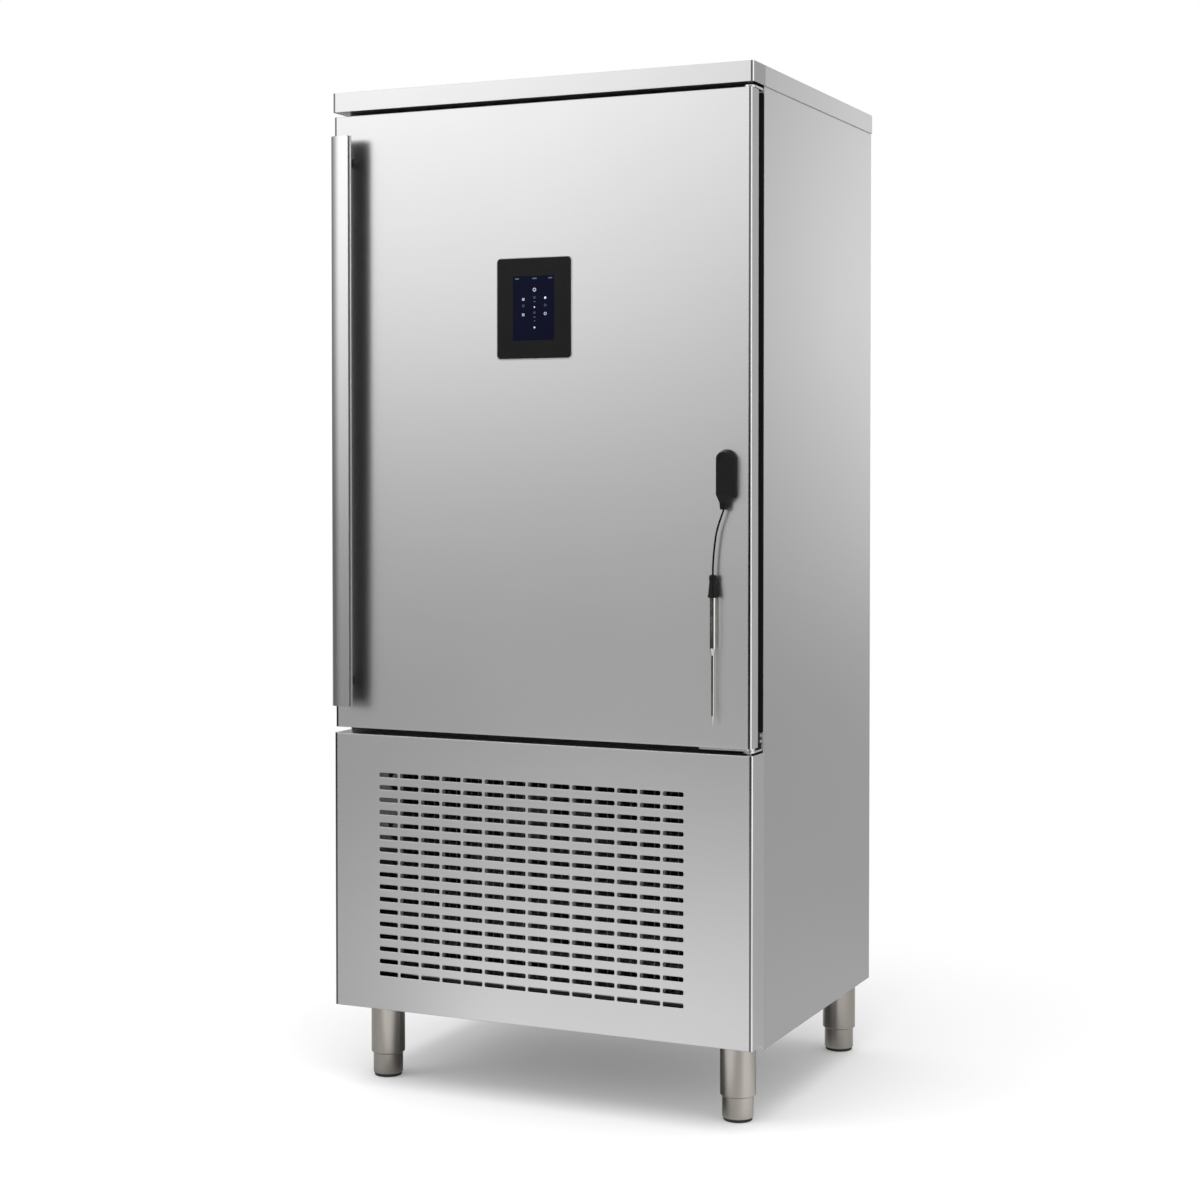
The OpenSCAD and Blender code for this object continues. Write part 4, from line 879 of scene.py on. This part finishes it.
def make_earthing_stud():
    """A six-sided nut and a washer on a short thread, at the back."""
    low, high = corners("rear_grille")
    stud = Vector((low.x + STUD_IN, high.y, low.z + STUD_IN))
    turn = Matrix.Translation(stud) @ toward(BACKWARD)
    thread = []
    for i in range(THREAD_TURNS):
        start = THREAD_START + i * THREAD_PITCH
        thread += [(THREAD_ROOT_R, start), (THREAD_R, start + THREAD_PITCH / 2)]
    bm = bmesh.new()
    add_revolved(bm, WASHER, turn)
    add_revolved(bm, STUD_NUT, turn, sides=6)
    add_revolved(bm, thread, turn, sides=24)
    fitting("earthing_stud", "cabinet", "hinge_steel", bm)


make_door_return()
make_bezel_trim()
make_return_bends()
make_compressor_nuts()
make_drain_cover()
make_air_sensor()
make_earthing_stud()

# ------------------------------------------------------------------ floor, light and world

FLOOR_R = 14.0
FLOOR_Z = -0.0003
FLOOR_GREY = grey(0.93)
FLOOR_ROUGH = 0.9

# Brightness of what the steel reflects. The domes go by the sine of the elevation, and the rest by
# degrees round the object from its front, positive to its right, or by metres from its middle.
FRONT_DOME = [(-0.05, 0.05), (0.0, 0.15), (0.03, 0.8), (0.08, 1.4), (0.2, 1.75), (0.5, 1.5),
              (1.0, 1.2)]
BACK_DOME = [(0.0, 0.7), (0.05, 1.12), (0.1, 1.12), (0.2, 0.8), (0.5, 0.65), (1.0, 1.0)]
AROUND = [
    (-180, 0.8), (-130, 0.3), (-112, 0.15), (-100, 0.15), (-90, 0.25), (-72, 0.34), (-56, 0.52),
    (-43, 0.84), (-35, 1.18), (-30, 1.18), (-20, 0.86), (-11, 0.38), (0, 0.28), (48, 0.28),
    (66, 0.8), (85, 0.7), (116, 0.3), (150, 0.3), (158, 0.5), (161, 0.88), (164, 1.12),
    (170, 1.05), (180, 0.8),
]
STRIPS = [(-180, 0.0), (52, 0.0), (62, 1.0), (106, 1.0), (118, 0.0), (180, 0.0)]
STRIP_LEVEL = 1.05
FLOOR_AROUND = [
    (-180, 0.6), (-120, 0.5), (-60, 0.5), (-37, 0.55), (-31, 0.78), (-25, 1.08), (-16, 1.0),
    (6, 1.0), (22, 1.0), (32, 0.62), (44, 0.62), (60, 1.0), (75, 1.0), (95, 0.7), (110, 0.6),
    (148, 0.59), (156, 0.57), (161, 0.6), (166, 0.66), (180, 0.6),
]
# Both tables are low near the middle, under the object: a painted shadow that the steel shows in
# its reflections
FRONT_AWAY = [(0.0, 0.1), (0.32, 0.12), (0.48, 0.85), (0.7, 0.95), (1.6, 0.82), (3.0, 0.52),
              (5.0, 0.22), (8.0, 0.06), (14.0, 0.05)]
BACK_AWAY = [(0.0, 0.1), (0.32, 0.12), (0.5, 0.7), (0.7, 0.85), (2.0, 0.76), (4.5, 0.7),
             (9.0, 0.68), (14.0, 0.68)]
# Metres over which the strips of light come up on the floor
STRIPS_FROM, STRIPS_FULL = 1.5, 3.5
# Half of the depth over which the front's reflections turn to the back's, on floor and world
FLOOR_BLEND = 0.5
WORLD_BLEND = 0.3
# How far the floor is plain white to the camera, by metres from its middle
WHITENESS = [(0.0, 0.14), (0.6, 0.18), (0.9, 0.24), (1.4, 0.6), (1.9, 1.0), (14.0, 1.0)]
# Strength of the even light from all round
SOFT_LEVEL = 0.85


def degrees(table):
    """Places of a table in degrees, from 0 to 1."""
    return [((angle + 180) / 360, level) for angle, level in table]


def heights(table):
    """Places of a table in sines, from 0 to 1."""
    return [((sine + 1) / 2, level) for sine, level in table]


def distances(table):
    """Places of a table in metres, from 0 to 1."""
    return [(metres / FLOOR_R, level) for metres, level in table]


class Studio(Nodes):
    """Nodes for the floor and the world, which shade by direction and distance."""

    def curve(self, value, table):
        """A value from 0 to 1 taken through a table of (place, level)."""
        top = max(level for _, level in table)
        ramp = self.add("ShaderNodeValToRGB")
        self.join(value, ramp.inputs[0])
        stops = ramp.color_ramp.elements
        stops.remove(stops[-1])
        for i, (at, level) in enumerate(table):
            stop = stops[0] if i == 0 else stops.new(at)
            stop.position = at
            stop.color = (*grey(level / top), 1)
        return self.calc("MULTIPLY", ramp.outputs["Color"], top)

    def turned(self, axes):
        """The direction round the object, from 0 to 1: 0.5 is its front, more is to its right."""
        angle = self.calc("ARCTAN2", axes["X"], self.calc("MULTIPLY", axes["Y"], -1.0))
        return self.span(angle, -math.pi, math.pi)

    def either(self, factor, a, b):
        """Between two shaders."""
        node = self.add("ShaderNodeMixShader")
        for value, socket in zip((factor, a, b), node.inputs):
            self.join(value, socket)
        return node.outputs[0]

    def white(self, kind, strength=1.0):
        """White light from an Emission or a Background node."""
        node = self.add(kind)
        node.inputs["Color"].default_value = (*grey(1), 1)
        self.join(strength, node.inputs["Strength"])
        return node.outputs[0]


def make_floor():
    """A pale floor that keeps the shadow near the object and fades to white away from it.
    Steel reflects it as greys that differ with distance and direction, with a painted shadow under
    the object."""
    material = bpy.data.materials.new("studio_floor")
    material.use_nodes = True
    s = Studio(material.node_tree)
    bsdf = s.tree.nodes["Principled BSDF"]
    bsdf.inputs["Base Color"].default_value = (*FLOOR_GREY, 1)
    bsdf.inputs["Roughness"].default_value = FLOOR_ROUGH
    position = s.add("ShaderNodeNewGeometry").outputs["Position"]
    length = s.add("ShaderNodeVectorMath", operation="LENGTH")
    s.join(position, length.inputs[0])
    metres = length.outputs["Value"]
    away = s.span(metres, 0, FLOOR_R)
    seen = s.either(s.curve(away, distances(WHITENESS)), bsdf.outputs[0],
                    s.white("ShaderNodeEmission"))

    axes = s.axes(position)
    share = s.turned(axes)
    behind = s.span(axes["Y"], -FLOOR_BLEND, FLOOR_BLEND)
    level = s.mix("FLOAT", behind, s.curve(away, distances(FRONT_AWAY)),
                  s.curve(away, distances(BACK_AWAY)))
    level = s.calc("MULTIPLY", level, s.curve(share, degrees(FLOOR_AROUND)))
    strips = s.calc("MULTIPLY", s.curve(share, degrees(STRIPS)),
                    s.span(metres, STRIPS_FROM, STRIPS_FULL))
    level = s.mix("FLOAT", strips, level, STRIP_LEVEL)
    surface = s.either(s.add("ShaderNodeLightPath").outputs["Is Glossy Ray"], seen,
                       s.white("ShaderNodeEmission", level))
    s.join(surface, s.tree.nodes["Material Output"].inputs["Surface"])

    bm = bmesh.new()
    bmesh.ops.create_circle(bm, cap_ends=True, segments=96, radius=FLOOR_R)
    mesh = mesh_from("studio_floor", bm)
    mesh.materials.append(material)
    floor = place("studio_floor", mesh)
    floor.location.z = FLOOR_Z


def make_world():
    """White behind the object, and light and reflections from a studio with soft boxes."""
    world = bpy.data.worlds.new("studio")
    bpy.context.scene.world = world
    world.use_nodes = True
    s = Studio(world.node_tree)
    s.tree.nodes.clear()
    axes = s.axes(s.add("ShaderNodeTexCoord").outputs["Generated"])
    share = s.turned(axes)
    up = s.span(axes["Z"], -1, 1)
    behind = s.span(axes["Y"], -WORLD_BLEND, WORLD_BLEND)
    level = s.mix("FLOAT", behind, s.curve(up, heights(FRONT_DOME)),
                  s.curve(up, heights(BACK_DOME)))
    level = s.calc("MULTIPLY", level, s.curve(share, degrees(AROUND)))
    level = s.mix("FLOAT", s.curve(share, degrees(STRIPS)), level, STRIP_LEVEL)
    studio, soft, backdrop = [s.white("ShaderNodeBackground", strength)
                              for strength in (level, SOFT_LEVEL, 1.0)]
    path = s.add("ShaderNodeLightPath")
    light = s.either(path.outputs["Is Glossy Ray"], soft, studio)
    surface = s.either(path.outputs["Is Camera Ray"], light, backdrop)
    s.join(surface, s.add("ShaderNodeOutputWorld").inputs["Surface"])


def area_light(name, at, aim, size, power):
    """A rectangular soft box, which reflections don't show."""
    data = bpy.data.lights.new(name, "AREA")
    data.shape = "RECTANGLE"
    data.size, data.size_y = size
    data.energy = power
    lamp = place(name, data)
    lamp.location = at
    lamp.rotation_euler = (Vector(aim) - Vector(at)).to_track_quat("-Z", "Y").to_euler()
    lamp.visible_glossy = False


make_floor()
make_world()
area_light("overhead_softbox", at=(0.2, -1.1, 4.2), aim=(0, 0, 0.5), size=(3.8, 3.8), power=118)
area_light("left_softbox", at=(-3.2, -2.6, 2.6), aim=(0, 0, 1.0), size=(2.0, 2.4), power=38)
bpy.context.scene.view_settings.view_transform = "Standard"
